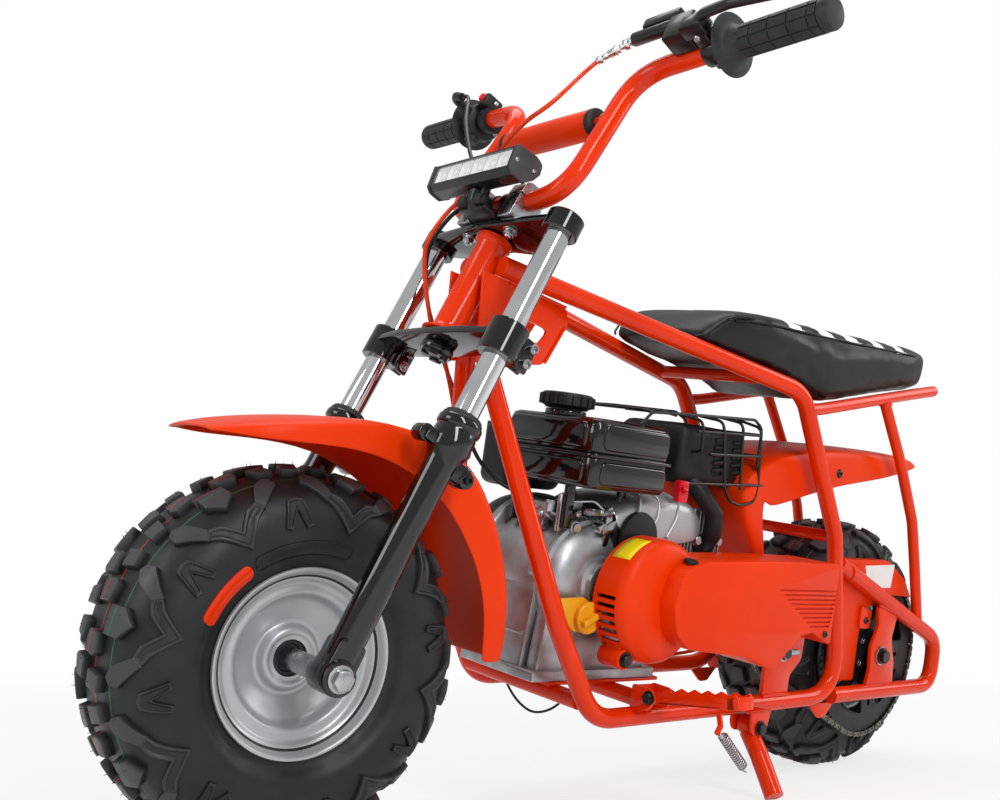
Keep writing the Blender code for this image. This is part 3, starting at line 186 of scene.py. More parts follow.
def finish(name, dark, light, rough, patch, grain, depth, metallic=0.0, coat=0.0, detail=3.0, sheen=0.0):
    """A surface: two colours in patches, a roughness range, and grain of a size and depth in mm."""
    mat = bpy.data.materials.new(name)
    mat.use_nodes = True
    tree = mat.node_tree
    shader = tree.nodes["Principled BSDF"]
    place = add(tree, "TexCoord").outputs["Object"]
    drift = add(tree, "TexNoise", {"Vector": place, "Scale": 1 / (patch * MM), "Detail": 3.0}).outputs["Fac"]
    tree.links.new(ramp(tree, drift, ((0.3, dark), (0.7, light))), shader.inputs["Base Color"])
    other = add(tree, "TexNoise", {"Vector": place, "Scale": 1.7 / (patch * MM), "Detail": 4.0}).outputs["Fac"]
    tree.links.new(ramp(tree, other, ((0.3, rough[0]), (0.7, rough[1]))), shader.inputs["Roughness"])
    skin = add(tree, "TexNoise", {"Vector": place, "Scale": 1 / (grain * MM), "Detail": detail}).outputs["Fac"]
    bump = add(tree, "Bump", {"Height": skin, "Distance": depth * MM, "Strength": 1.0})
    tree.links.new(bump.outputs["Normal"], shader.inputs["Normal"])
    shader.inputs["Metallic"].default_value = metallic
    shader.inputs["Coat Weight"].default_value = coat
    shader.inputs["Coat Roughness"].default_value = COAT_ROUGHNESS
    shader.inputs["Sheen Weight"].default_value = sheen
    shader.inputs["Specular IOR Level"].default_value = METAL_GLOSS if metallic else PLAIN_GLOSS
    return mat


RECIPES = {
    # name: dark, light, roughness range, patch mm, grain mm, depth mm, metallic, coat, detail
    "frame_red": ("E02F00", "EA3700", (0.15, 0.22), 60, 1.6, 0.008, 0.0, 0.25),
    "red_plastic": ("E33400", "EE3C00", (0.34, 0.42), 90, 0.7, 0.012),
    "black_gloss": ("060607", "0B0B0C", (0.07, 0.12), 70, 3.0, 0.008, 0.0, 0.6),
    "black_satin": ("101112", "17181A", (0.26, 0.36), 50, 0.8, 0.012, 0.0, 0.15),
    "black_steel": ("141516", "202224", (0.32, 0.45), 30, 0.6, 0.012, 0.4),
    "black_plastic": ("151617", "1D1E20", (0.40, 0.52), 40, 0.5, 0.020),
    "black_heat_paint": ("0E0E0F", "19191A", (0.42, 0.60), 25, 0.5, 0.022),
    "bare_steel": ("9C9EA1", "C2C4C7", (0.20, 0.34), 14, 0.5, 0.010, 1.0),
    "chain_steel": ("5F5B54", "8E8A82", (0.30, 0.48), 8, 0.5, 0.012, 1.0),
    "chrome": ("D9DBDE", "E8E9EB", (0.04, 0.09), 40, 1.2, 0.002, 1.0),
    "aluminium": ("9EA1A4", "BBBEC1", (0.34, 0.48), 22, 0.7, 0.045, 0.80),
    "silver_paint": ("AEB0B3", "BCBEC1", (0.34, 0.42), 60, 0.6, 0.008, 0.55, 0.15),
    "rubber": ("26282A", "303234", (0.50, 0.64), 16, 0.5, 0.030),
    "yellow_plastic": ("E99A10", "F7B826", (0.30, 0.40), 30, 0.8, 0.012),
    "cable_red": ("D03000", "E44208", (0.22, 0.32), 20, 0.9, 0.010, 0.0, 0.3),
    "cable_black": ("0D0D0E", "161718", (0.30, 0.42), 20, 0.9, 0.012),
    "label_white": ("E4E4E2", "F1F1EF", (0.35, 0.45), 30, 0.9, 0.006),
    "label_yellow": ("F5DC06", "FDE91F", (0.30, 0.40), 30, 0.9, 0.006),
    "switch_red": ("C9081A", "E01528", (0.25, 0.35), 20, 0.8, 0.008),
    "grey_plastic": ("3A3B3D", "4A4B4D", (0.40, 0.50), 25, 0.6, 0.015),
    "seat_vinyl": ("0B0B0C", "131314", (0.36, 0.48), 45, 1.3, 0.050),
    "lamp_glass": ("F4F6F7", "FBFCFC", (0.02, 0.05), 40, 2.0, 0.002),
    "lamp_mirror": ("F0F2F4", "FAFAFB", (0.10, 0.18), 12, 1.0, 0.010, 0.15),
    "clear_white": ("F4F4F2", "FCFCFB", (0.25, 0.35), 20, 0.9, 0.006),
}
MATS = {name: finish(name, *recipe) for name, recipe in RECIPES.items()}
for name in ("frame_red", "red_plastic", "cable_red"):
    MATS[name].node_tree.nodes["Principled BSDF"].inputs["Specular IOR Level"].default_value = RED_GLOSS
MATS["lamp_glass"].node_tree.nodes["Principled BSDF"].inputs["Alpha"].default_value = GLASS_ALPHA
print("shared finishes:", len(MATS))

# %% [markdown]
# ## Studio
#
# The machine stands on a plain pale floor in soft light. White behind it comes from what the camera and
# glossy rays see of the world, not from more light on the object, so the colours stay as they are written.
# A long soft lamp to the left draws the bright lines that run down the fork, tank and tubes.

# %% Floor, world and lamps
FLOOR_SIZE = 30.0
SKY_LIGHT = 0.34
SKY_IN_GLOSS = 0.22
FLOOR_IN_GLOSS = 0.55
SHADOW_REACH = (0.9, 3.0)
WHITE_UNDER = 0.75

floor_bm = bmesh.new()
bmesh.ops.create_grid(floor_bm, x_segments=1, y_segments=1, size=FLOOR_SIZE / 2)
floor_mesh = bpy.data.meshes.new("floor")
floor_bm.to_mesh(floor_mesh)
floor_bm.free()
floor = bpy.data.objects.new("floor", floor_mesh)
bpy.context.scene.collection.objects.link(floor)
floor_mat = bpy.data.materials.new("studio_floor")
floor_mat.use_nodes = True
tree = floor_mat.node_tree
tree.nodes["Principled BSDF"].inputs["Base Color"].default_value = linear("F2F2F2")
tree.nodes["Principled BSDF"].inputs["Roughness"].default_value = 0.9
white = add(tree, "Emission", {"Color": linear("FFFFFF"), "Strength": 1.0})
path = add(tree, "LightPath")
mirrored = add(tree, "Math", {0: path.outputs["Is Glossy Ray"], 1: FLOOR_IN_GLOSS}, operation="MULTIPLY")
seen = add(tree, "Math", {0: path.outputs["Is Camera Ray"], 1: mirrored.outputs[0]}, operation="MAXIMUM")
seen = add(tree, "Math", {0: seen.outputs[0], 1: path.outputs["Is Transmission Ray"]}, operation="MAXIMUM")
spot = add(tree, "TexCoord")
reach = add(tree, "VectorMath", {0: spot.outputs["Object"]}, operation="LENGTH")
fade = add(
    tree, "MapRange", {"Value": reach.outputs["Value"], "From Min": SHADOW_REACH[0], "From Max": SHADOW_REACH[1],
    "To Min": WHITE_UNDER, "To Max": 1.0}
)
share = add(tree, "Math", {0: seen.outputs[0], 1: fade.outputs["Result"]}, operation="MULTIPLY")
lit = tree.nodes["Principled BSDF"].outputs["BSDF"]
mixed = add(tree, "MixShader", {"Fac": share.outputs[0], 1: lit, 2: white.outputs["Emission"]})
tree.links.new(mixed.outputs["Shader"], tree.nodes["Material Output"].inputs["Surface"])
floor_mesh.materials.append(floor_mat)

world = bpy.data.worlds.new("studio")
bpy.context.scene.world = world
world.use_nodes = True
tree = world.node_tree
path = add(tree, "LightPath")
mirrored = add(tree, "Math", {0: path.outputs["Is Glossy Ray"], 1: SKY_IN_GLOSS}, operation="MULTIPLY")
seen = add(tree, "Math", {0: path.outputs["Is Camera Ray"], 1: mirrored.outputs[0]}, operation="MAXIMUM")
seen = add(tree, "Math", {0: seen.outputs[0], 1: path.outputs["Is Transmission Ray"]}, operation="MAXIMUM")
level = add(tree, "MapRange", {"Value": seen.outputs[0], "To Min": SKY_LIGHT, "To Max": 1.0})
tree.links.new(level.outputs["Result"], tree.nodes["Background"].inputs["Strength"])
tree.nodes["Background"].inputs["Color"].default_value = linear("FFFFFF")

LAMPS = (
    # name, place in metres, aims at, width, height, watts
    ("lamp_left", (0.9, 2.6, 2.0), (0.2, 0, 0.4), 0.55, 2.6, 54),
    ("lamp_front", (3.0, -0.6, 1.8), (0.2, 0, 0.4), 1.2, 1.6, 26),
    ("lamp_top", (-0.2, -0.2, 3.0), (0.0, 0, 0.3), 2.2, 1.4, 34),
    ("lamp_rear", (-2.6, 1.4, 1.6), (-0.1, 0, 0.4), 1.0, 1.6, 18),
)
for name, place, aim, width, height, watts in LAMPS:
    light = bpy.data.lights.new(name, "AREA")
    light.shape = "RECTANGLE"
    light.size = width
    light.size_y = height
    light.energy = watts
    lamp = bpy.data.objects.new(name, light)
    bpy.context.scene.collection.objects.link(lamp)
    lamp.location = place
    lamp.rotation_euler = (Vector(aim) - Vector(place)).to_track_quat("-Z", "Y").to_euler()
bpy.context.scene.view_settings.view_transform = "Standard"
print("lamps:", len(LAMPS))

# %% [markdown]
# ## Modelling helpers
#
# Most pieces start from a circle, a cone, a cube or a short outline. A tube is a circle extruded from point to
# point along a bent path. A turned part is an outline spun once round its axis. A plate is an outline pushed
# through its thickness, with its rims bevelled. A skin is a row of points pushed from station to station, as a
# pressed or moulded sheet runs.

# %% Modelling helpers


def fresh(items, kind):
    return [item for item in items if isinstance(item, kind)]


def merge(*parts):
    """Puts several meshes in one."""
    whole = bmesh.new()
    for part in parts:
        mesh = bpy.data.meshes.new("part")
        part.to_mesh(mesh)
        part.free()
        whole.from_mesh(mesh)
        bpy.data.meshes.remove(mesh)
    return whole


def place(bm, matrix):
    bmesh.ops.transform(bm, matrix=matrix, verts=bm.verts)
    return bm


def shift(bm, *values):
    return place(bm, Matrix.Translation(mm(*values)))


def soften(bm, width, segments=2, sharper=35):
    """Rounds the edges that are sharper than an angle in degrees."""
    if width:
        edges = [e for e in bm.edges if e.is_manifold and e.calc_face_angle() > math.radians(sharper)]
        bmesh.ops.bevel(bm, geom=edges, offset=width * MM, segments=segments, profile=0.5, affect="EDGES",
                        clamp_overlap=True, material=-1)
    return bm


def bent(points, bend, steps):
    """Centre line of a bent tube: points in mm, with every inner corner eased over the bend radius."""
    points = [mm(*p) for p in points]
    path = [points[0]]
    for before, corner, after in zip(points, points[1:], points[2:]):
        back, on = before - corner, after - corner
        half = max(back.angle(on) / 2, 0.01)
        reach = min(bend * MM / math.tan(half), 0.45 * back.length, 0.45 * on.length)
        start, end = corner + back.normalized() * reach, corner + on.normalized() * reach
        for i in range(steps + 1):
            path.append(start.lerp(corner, i / steps).lerp(corner.lerp(end, i / steps), i / steps))
    path.append(points[-1])
    return path


def tube(points, radius, bend=40, sides=28, steps=7, widths=None):
    """A round bar along a bent path. Widths, one for each point of a straight path, make it taper."""
    path = bent(points, bend, steps) if bend else [mm(*p) for p in points]
    ways = [(b - a).normalized() for a, b in zip(path, path[1:])]
    ways = [ways[0]] + [(a + b).normalized() for a, b in zip(ways, ways[1:])] + [ways[-1]]
    bm = bmesh.new()
    turn = Vector((0, 0, 1)).rotation_difference(ways[0]).to_matrix().to_4x4()
    start = Matrix.Translation(path[0]) @ turn
    bmesh.ops.create_circle(bm, cap_ends=True, segments=sides, radius=radius * MM, matrix=start)
    ring = bm.edges[:]
    for i in range(1, len(path)):
        made = bmesh.ops.extrude_edge_only(bm, edges=ring)["geom"]
        verts = set(fresh(made, bmesh.types.BMVert))
        ring = [e for e in fresh(made, bmesh.types.BMEdge) if set(e.verts) <= verts]
        turn = ways[i - 1].rotation_difference(ways[i]).to_matrix().to_4x4()
        size = Matrix.Scale(widths[i] / widths[i - 1], 4) if widths else Matrix.Identity(4)
        step = Matrix.Translation(path[i]) @ turn @ size @ Matrix.Translation(-path[i - 1])
        bmesh.ops.transform(bm, matrix=step, verts=list(verts))
    bmesh.ops.contextual_create(bm, geom=ring)
    return bm


AXIS_TURNS = {"Z": Matrix(), "Y": Matrix.Rotation(-math.pi / 2, 4, "X"), "X": Matrix.Rotation(math.pi / 2, 4, "Y")}


def turned(profile, steps=64, axis="Z"):
    """A lathe-turned part: a closed outline of (radius, along) in mm, spun round an axis."""
    bm = bmesh.new()
    verts = [bm.verts.new(mm(radius, 0, along)) for radius, along in profile]
    pairs = zip(verts, verts[1:] + verts[:1])
    edges = [bm.edges.new((a, b)) for a, b in pairs if a.co.x or b.co.x]
    bmesh.ops.spin(
        bm, geom=verts + edges, cent=(0, 0, 0), axis=(0, 0, 1), angle=math.tau, steps=steps, use_merge=True
    )
    bmesh.ops.remove_doubles(bm, verts=bm.verts, dist=1e-6)
    return place(bm, AXIS_TURNS[axis])


def rod(start, end, radius, edge=0.0, sides=32, far=None):
    """A straight bar between two points in mm, or a cone where it has a far radius."""
    start, end = mm(*start), mm(*end)
    turn = Vector((0, 0, 1)).rotation_difference(end - start).to_matrix().to_4x4()
    bm = bmesh.new()
    bmesh.ops.create_cone(bm, cap_ends=True, segments=sides, radius1=radius * MM,
                          radius2=(radius if far is None else far) * MM, depth=(end - start).length,
                          matrix=Matrix.Translation((start + end) / 2) @ turn)
    return soften(bm, edge, sharper=50)


def block(low, high, edge=0.0, segments=2):
    """A block between two corners in mm, all its edges rounded."""
    bm = bmesh.new()
    size = mm(*high) - mm(*low)
    bmesh.ops.create_cube(
        bm, size=1.0, matrix=Matrix.Translation((mm(*low) + mm(*high)) / 2) @ Matrix.Diagonal((*size, 1))
    )
    return soften(bm, edge, segments)


def outline(corners, steps=5):
    """A flat outline in mm from (across, up, corner radius)."""
    points = []
    for before, (x, z, radius), after in zip(corners[-1:] + corners[:-1], corners, corners[1:] + corners[:1]):
        corner = Vector((x, z))
        back, on = Vector(before[:2]) - corner, Vector(after[:2]) - corner
        reach = min(radius / math.tan(max(back.angle(on) / 2, 0.01)), 0.45 * back.length, 0.45 * on.length)
        start, end = corner + back.normalized() * reach, corner + on.normalized() * reach
        count = steps if reach > 0.05 else 0
        points += [
            start.lerp(corner, i / steps).lerp(corner.lerp(end, i / steps), i / steps) for i in range(count + 1)
        ]
    return points


def slab(corners, low, high, edge=0.0, axis="Y", steps=5):
    """A flat plate: its outline, pushed along an axis from low to high, its rims rounded."""
    bm = bmesh.new()
    bm.faces.new([bm.verts.new(mm(p.x, p.y, low)) for p in outline(corners, steps)])
    made = bmesh.ops.extrude_face_region(bm, geom=bm.faces[:])["geom"]
    bmesh.ops.translate(bm, vec=mm(0, 0, high - low), verts=fresh(made, bmesh.types.BMVert))
    bmesh.ops.recalc_face_normals(bm, faces=bm.faces)
    soften(bm, edge, sharper=55)
    if axis == "Y":
        place(bm, Matrix(((1, 0, 0, 0), (0, 0, 1, 0), (0, 1, 0, 0), (0, 0, 0, 1))))
    if axis == "X":
        place(bm, Matrix(((0, 0, 1, 0), (1, 0, 0, 0), (0, 1, 0, 0), (0, 0, 0, 1))))
    return bm


def skin(stations, closed=False):
    """A sheet: its first row of points in mm, extruded from each station to the next."""
    bm = bmesh.new()
    row = [bm.verts.new(mm(*p)) for p in stations[0]]
    edges = [bm.edges.new(pair) for pair in zip(row, row[1:] + (row[:1] if closed else []))]
    for station in stations[1:]:
        made = set(bmesh.ops.extrude_edge_only(bm, edges=edges)["geom"])
        row = [next(e.other_vert(v) for e in v.link_edges if e.other_vert(v) in made) for v in row]
        for vert, p in zip(row, station):
            vert.co = mm(*p)
        edges = [e for e in fresh(made, bmesh.types.BMEdge) if set(e.verts) <= set(row)]
    return bm


def copies(bm, matrices):
    """The same mesh at each of several places."""
    return merge(*[place(bm.copy(), matrix) for matrix in matrices])


def cut(bm, *cutters):
    """Takes cutters away from a closed mesh with Blender's Boolean."""
    made = []
    for shape in (bm, merge(*cutters)):
        bmesh.ops.recalc_face_normals(shape, faces=shape.faces)
        mesh = bpy.data.meshes.new("cut")
        shape.to_mesh(mesh)
        shape.free()
        made.append(bpy.data.objects.new("cut", mesh))
        bpy.context.scene.collection.objects.link(made[-1])
    solver = made[0].modifiers.new("cut", "BOOLEAN")
    solver.operation = "DIFFERENCE"
    solver.solver = "EXACT"
    solver.use_self = True
    solver.object = made[1]
    result = bmesh.new()
    bpy.context.view_layer.update()
    result.from_object(made[0], bpy.context.evaluated_depsgraph_get())
    for obj in made:
        bpy.data.objects.remove(obj)
    return result


def piece(name, bm, mat, body="root", where=None, stands_for=(), smooth=32, subsurf=0, wall=0.0, bevel=0.0):
    """Makes the mesh an object of the machine: it gets its place, finish, body and the nodes it stands for."""
    bmesh.ops.remove_doubles(bm, verts=bm.verts, dist=2e-6)
    bmesh.ops.recalc_face_normals(bm, faces=bm.faces)
    place(bm, BIKE if where is None else where)
    mesh = bpy.data.meshes.new(name)
    bm.to_mesh(mesh)
    bm.free()
    mesh.shade_smooth()
    mesh.set_sharp_from_angle(angle=math.radians(smooth))
    obj = bpy.data.objects.new(name, mesh)
    bpy.context.scene.collection.objects.link(obj)
    mesh.materials.append(MATS[mat])
    if wall:
        solid = obj.modifiers.new("wall", "SOLIDIFY")
        solid.thickness = wall * MM
        solid.offset = 0.0
    if bevel:
        rim = obj.modifiers.new("rim", "BEVEL")
        rim.width = bevel * MM
        rim.segments = 2
        rim.limit_method = "ANGLE"
    if subsurf:
        soft = obj.modifiers.new("soft", "SUBSURF")
        soft.levels = soft.render_levels = subsurf
    if body:
        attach(obj, body)
    if stands_for:
        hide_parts(*stands_for)
    return obj


# %% [markdown]
# ## Fasteners
#
# Screws and nuts show all over an open machine: zinc flanged hexagon heads, black cap screws with a hexagon
# socket, and nuts with a bolt end standing out of them. Each kind is made once, head up, and then set by a
# table of places, so each body carries its own few meshes.

# %% Fasteners


def hexagon(radius, low, high):
    bm = rod((0, 0, low), (0, 0, high), radius, sides=6)
    return soften(bm, radius * 0.08, 1, 50)


def fastener(kind, size):
    """A screw or nut head standing on z = 0, its thread size in mm."""
    if kind == "flange":
        return merge(
            hexagon(size * 0.95, size * 0.15, size * 0.8), rod((0, 0, 0), (0, 0, size * 0.22), size * 1.15, 0.3)
        )
    if kind == "nut":
        thread = rod((0, 0, 0), (0, 0, size * 1.25), size * 0.5, 0.4, 20)
        return merge(
            hexagon(size * 0.95, 0, size * 0.85), thread, rod((0, 0, 0), (0, 0, size * 0.14), size * 1.2, 0.2)
        )
    if kind == "cap":
        body = [(0, 0), (size * 0.8, 0), (size * 0.8, size * 0.85), (size * 0.7, size), (size * 0.48, size)]
        body += [(size * 0.44, size * 0.45), (0, size * 0.4)]
        return turned(body, 24)
    dome = [(0, 0), (size, 0), (size, size * 0.12), (size * 0.8, size * 0.42), (size * 0.38, size * 0.56)]
    return turned(dome + [(size * 0.34, size * 0.3), (0, size * 0.28)], 20)


def fasteners(name, mat, rows, body="root", where=None):
    """One mesh of fasteners from rows of (place in mm, way that the head faces, kind, size)."""
    heads = []
    for spot, way, kind, size in rows:
        turn = Vector((0, 0, 1)).rotation_difference(Vector(way)).to_matrix().to_4x4()
        heads.append(place(fastener(kind, size), Matrix.Translation(mm(*spot)) @ turn))
    return piece(name, merge(*heads), mat, body, where)


def both(rows):
    """Rows for the left side, and the same mirrored to the right."""
    mirrored = [((x, -y, z), (a, -b, c), kind, size) for (x, y, z), (a, b, c), kind, size in rows]
    return list(rows) + mirrored


def bead(points, radius=1.9, ripple=0.16, pitch=2.2):
    """A weld bead: a thin bar along a line whose thickness ripples as the weld pool did."""
    path = [Vector(p) for p in points]
    spots = []
    for a, b in zip(path, path[1:]):
        count = max(1, round((b - a).length / pitch))
        spots += [a.lerp(b, i / count) for i in range(count)]
    spots.append(path[-1])
    widths = [radius * (1 + ripple * (1 if i % 2 else -1)) for i in range(len(spots))]
    widths[0] = widths[-1] = radius * 0.4
    return tube(spots, widths[0], bend=0, sides=8, widths=widths)


def ring_points(centre, across, other, count=24, start=0.0, end=360.0):
    """Points in mm round an ellipse given by its centre and two half axes."""
    centre, across, other = Vector(centre), Vector(across), Vector(other)
    turns = [math.radians(start + (end - start) * i / count) for i in range(count + 1)]
    return [centre + across * math.cos(a) + other * math.sin(a) for a in turns]


# %% [markdown]
# ## Tyres
#
# The tyres are low-pressure balloon tyres with a directional lug tread: V-shaped lugs that start on the side
# wall and run to the shoulder, a roof-shaped block between their arms, blocks in staggered pairs on the crown
# and small grooved chevrons lower on the wall. Lugs could be placed on the round casing one by one, but a tread
# is drawn flat and wraps round, so it is modelled flat here too: u runs round the tyre, v across its section
# and w off its skin. Each lug is an outline pushed up with a draft, cut into short strips so that it bends, and
# then wrapped. The casing itself is turned like the mould that it came from.

# %% Casing section
CASING_MID = 120.0
CASING_HALF = 69.5
CASING_RISE = (52.0, 36.5)


def casing(angle):
    """(radius, half width) in mm of the casing at an angle of its section, 0 at the crown."""
    lift = math.cos(angle)
    rise = CASING_RISE[0] if lift >= 0 else CASING_RISE[1]
    return CASING_MID + rise * math.copysign(abs(lift) ** 0.8, lift), CASING_HALF * abs(math.sin(angle)) ** 0.8


SECTION = [(0.0, *casing(0.0))]
for i in range(1, 245):
    r, y = casing(math.radians(i / 2))
    SECTION.append((SECTION[-1][0] + math.hypot(r - SECTION[-1][1], y - SECTION[-1][2]), r, y))
ROUND = SECTION[0][1] * math.tau
LUG_SETS = 8
PITCH = ROUND / LUG_SETS
print("round the crown, mm:", round(ROUND), "crown to bead, mm:", round(SECTION[-1][0]))


def wrap(bm, turn=0.0):
    """Bends a mesh from its flat u, v, w onto the casing, turned about the axle in degrees."""
    for vert in bm.verts:
        u, v, w = vert.co / MM
        far = min(abs(v), SECTION[-1][0] - 0.01)
        i = next(i for i, row in enumerate(SECTION) if row[0] > far)
        (v0, r0, y0), (v1, r1, y1) = SECTION[i - 1], SECTION[i]
        share = (far - v0) / (v1 - v0)
        out = Vector((y1 - y0, r0 - r1)).normalized()
        r = r0 + (r1 - r0) * share + w * out.x
        y = math.copysign(y0 + (y1 - y0) * share + w * out.y, v)
        angle = u / ROUND * math.tau + math.radians(turn)
        vert.co = mm(r * math.cos(angle), y, r * math.sin(angle))
    return bm


# %% Lugs, flat
FOOT = 1.5


def mirrored(half):
    """A whole outline from its half on the side of positive u."""
    return list(half) + [(-u, v) for u, v in reversed(half) if u]


def tread_block(corners, height, draft=1.3, groove=None, edge=0.7, strip=7.0):
    """A tread block: an outline of (u, v) in mm pushed up and in, grooved, rounded, cut in strips to bend."""
    bm = bmesh.new()
    face = bm.faces.new([bm.verts.new(mm(u, v, -FOOT)) for u, v in corners])
    face.normal_update()
    if face.normal.z < 0:
        face.normal_flip()
    made = bmesh.ops.extrude_face_region(bm, geom=[face])["geom"]
    top = fresh(made, bmesh.types.BMFace)
    bmesh.ops.translate(bm, vec=mm(0, 0, FOOT * 0.5), verts=top[0].verts[:])
    bmesh.ops.inset_region(bm, faces=top, thickness=draft * MM, depth=(height + FOOT * 0.5) * MM)
    if groove:
        bmesh.ops.inset_region(bm, faces=top, thickness=groove[0] * MM, depth=0.0)
        bmesh.ops.inset_region(bm, faces=top, thickness=0.6 * MM, depth=-groove[1] * MM)
    bmesh.ops.recalc_face_normals(bm, faces=bm.faces)
    rims = [e for e in bm.edges if e.calc_face_angle(0) > 0.6 and min(v.co.z for v in e.verts) > -0.5 * FOOT * MM]
    bmesh.ops.bevel(bm, geom=rims, offset=edge * MM, segments=1, profile=0.5, affect="EDGES", material=-1)
    for axis in (0, 1):
        values = [v.co[axis] / MM for v in bm.verts]
        count = int((max(values) - min(values)) / strip)
        for i in range(1, count + 1):
            spot = Vector((0, 0, 0))
            spot[axis] = (min(values) + (max(values) - min(values)) * i / (count + 1)) * MM
            way = Vector((0, 0, 0))
            way[axis] = 1
            bmesh.ops.bisect_plane(bm, geom=bm.verts[:] + bm.edges[:] + bm.faces[:], plane_co=spot, plane_no=way)
    return bm


LUGS = (
    # outline (u, v) in mm, height, groove (rim width, depth)
    (mirrored([(0, 97), (24, 75.5), (34, 69), (27, 59.5), (14, 64), (0, 78)]), 4.6, (3.0, 1.8)),
    ([(25, 62), (33, 70.5), (56, 50), (54, 40), (47, 35.5), (36, 42)], 5.6, None),
    ([(-25, 62), (-33, 70.5), (-56, 50), (-54, 40), (-47, 35.5), (-36, 42)], 5.6, None),
    ([(-13, 28), (13, 28), (14.5, 45), (0, 57), (-14.5, 45)], 8.2, None),
    ([(11, 3), (31, -2), (34, 17), (30, 23), (13, 21)], 8.0, None),
    ([(-11, 3), (-31, -2), (-34, 17), (-30, 23), (-13, 21)], 8.0, None),
    ([(43, 12), (60, 8), (63, 28), (47, 31)], 8.0, None),
    ([(-43, 12), (-60, 8), (-63, 28), (-47, 31)], 8.0, None),
    ([(67.5 + u, v) for u, v in mirrored([(0, 64), (9, 66), (19, 92), (9.5, 95), (0, 78)])], 3.6, (2.6, 1.7)),
)
WHISKERS = ((14, 6), (29, 2), (-14, 6), (-29, 2), (0, 30), (6, 43), (51, 44), (-51, 44), (55, 14), (-55, 14))


def tread_side():
    """One pitch of the left half of the tread, flat, with the hair-thin whiskers that the mould vents leave."""
    parts = [tread_block(corners, height, groove=groove) for corners, height, groove in LUGS]
    for u, v in WHISKERS:
        base = 5 if abs(u) == 51 else 7.5
        parts.append(rod((u, v, base), (u + 0.6, v, base + 3.4), 0.42, sides=3, far=0.25))
    return merge(*parts)


def casing_sheet(around=120):
    """The casing wrapped from a flat grid, with two mould rings near each bead, then closed down to the rim."""
    far = SECTION[-1][0]
    bm = bmesh.new()
    bmesh.ops.create_grid(bm, x_segments=around, y_segments=60, size=0.5)
    bmesh.ops.scale(bm, vec=mm(ROUND, 2 * far, 0), verts=bm.verts)
    bmesh.ops.translate(bm, vec=mm(ROUND / 2, 0, 0), verts=bm.verts)
    for vert in bm.verts:
        v = abs(vert.co.y) / MM
        if 110 < v < 112 or 118 < v < 120.5:
            vert.co.z = 0.9 * MM
    return bm


flat_side = tread_side()
print("faces in one pitch of tread:", len(flat_side.faces))


# %% Wrap the tread
BEAD = ((89.5, 57.3), (85.2, 57.3), (78.9, 52.2))


def close_casing(bm):
    """Carries the casing's two open rims in over the bead seats, and bridges them across the bore."""
    rims = [e for e in bm.edges if e.is_boundary]
    for radius, half in BEAD:
        made = bmesh.ops.extrude_edge_only(bm, edges=rims)["geom"]
        verts = fresh(made, bmesh.types.BMVert)
        for vert in verts:
            out = Vector((vert.co.x, 0, vert.co.z)).normalized() * radius * MM
            vert.co = (out.x, math.copysign(half * MM, vert.co.y), out.z)
        rims = [e for e in fresh(made, bmesh.types.BMEdge) if e.is_boundary]
    bmesh.ops.bridge_loops(bm, edges=rims)
    return bm


def tyre(name, body, where, phase):
    sheet = casing_sheet()
    lugs = []
    for i in range(LUG_SETS):
        for side in (1, -1):
            half = flat_side.copy()
            if side < 0:
                bmesh.ops.scale(half, vec=(1, -1, 1), verts=half.verts)
            lugs.append(shift(half, PITCH * (i + (0 if side > 0 else 0.5)), 0, 0))
    lugs = merge(*lugs)
    for bm in (sheet, lugs):
        across = bm.verts.layers.float.new("across")
        rise = bm.verts.layers.float.new("rise")
        for vert in bm.verts:
            vert[across] = vert.co.y / MM
            vert[rise] = vert.co.z / MM
        wrap(bm, phase)
    bmesh.ops.remove_doubles(sheet, verts=sheet.verts, dist=1e-5)
    return piece(
        name, merge(close_casing(sheet), lugs), "tyre", body, where, [name.replace("tread", "tyre")], smooth=38
    )


TREAD_PHASE = {"front": -13.2, "rear": 14.0}

# %% [markdown]
# ## Tyre rubber
#
# Moulded tyre rubber is near black, dull where it bulges out of the mould and a little glossy where the mould
# was polished. Two thin lines, red and green, run round the tread: dye lines that the maker puts on a strip of
# tread rubber. They follow the section of the tyre, so they read the distance from the crown that wrapping
# stored on the mesh. The height above the skin is stored too, and makes the tops of the lugs paler: a painted
# highlight mixed with dust.

# %% Tyre material
# Heights in mm where the paler lug tops begin and reach their full share: painted highlight mixed with dust.
DUST_AND_HIGHLIGHT_FROM, DUST_AND_HIGHLIGHT_AT, DUST_AND_HIGHLIGHT_SHARE = 2.0, 7.0, 0.75
tyre_mat = finish("moulded_tyre_rubber", "17181A", "222325", (0.36, 0.54), 28, 0.8, 0.045)
tree = tyre_mat.node_tree
shader = tree.nodes["Principled BSDF"]
rubber_colour = shader.inputs["Base Color"].links[0].from_socket
across = add(tree, "Attribute", attribute_name="across").outputs["Fac"]
rise = add(tree, "Attribute", attribute_name="rise").outputs["Fac"]
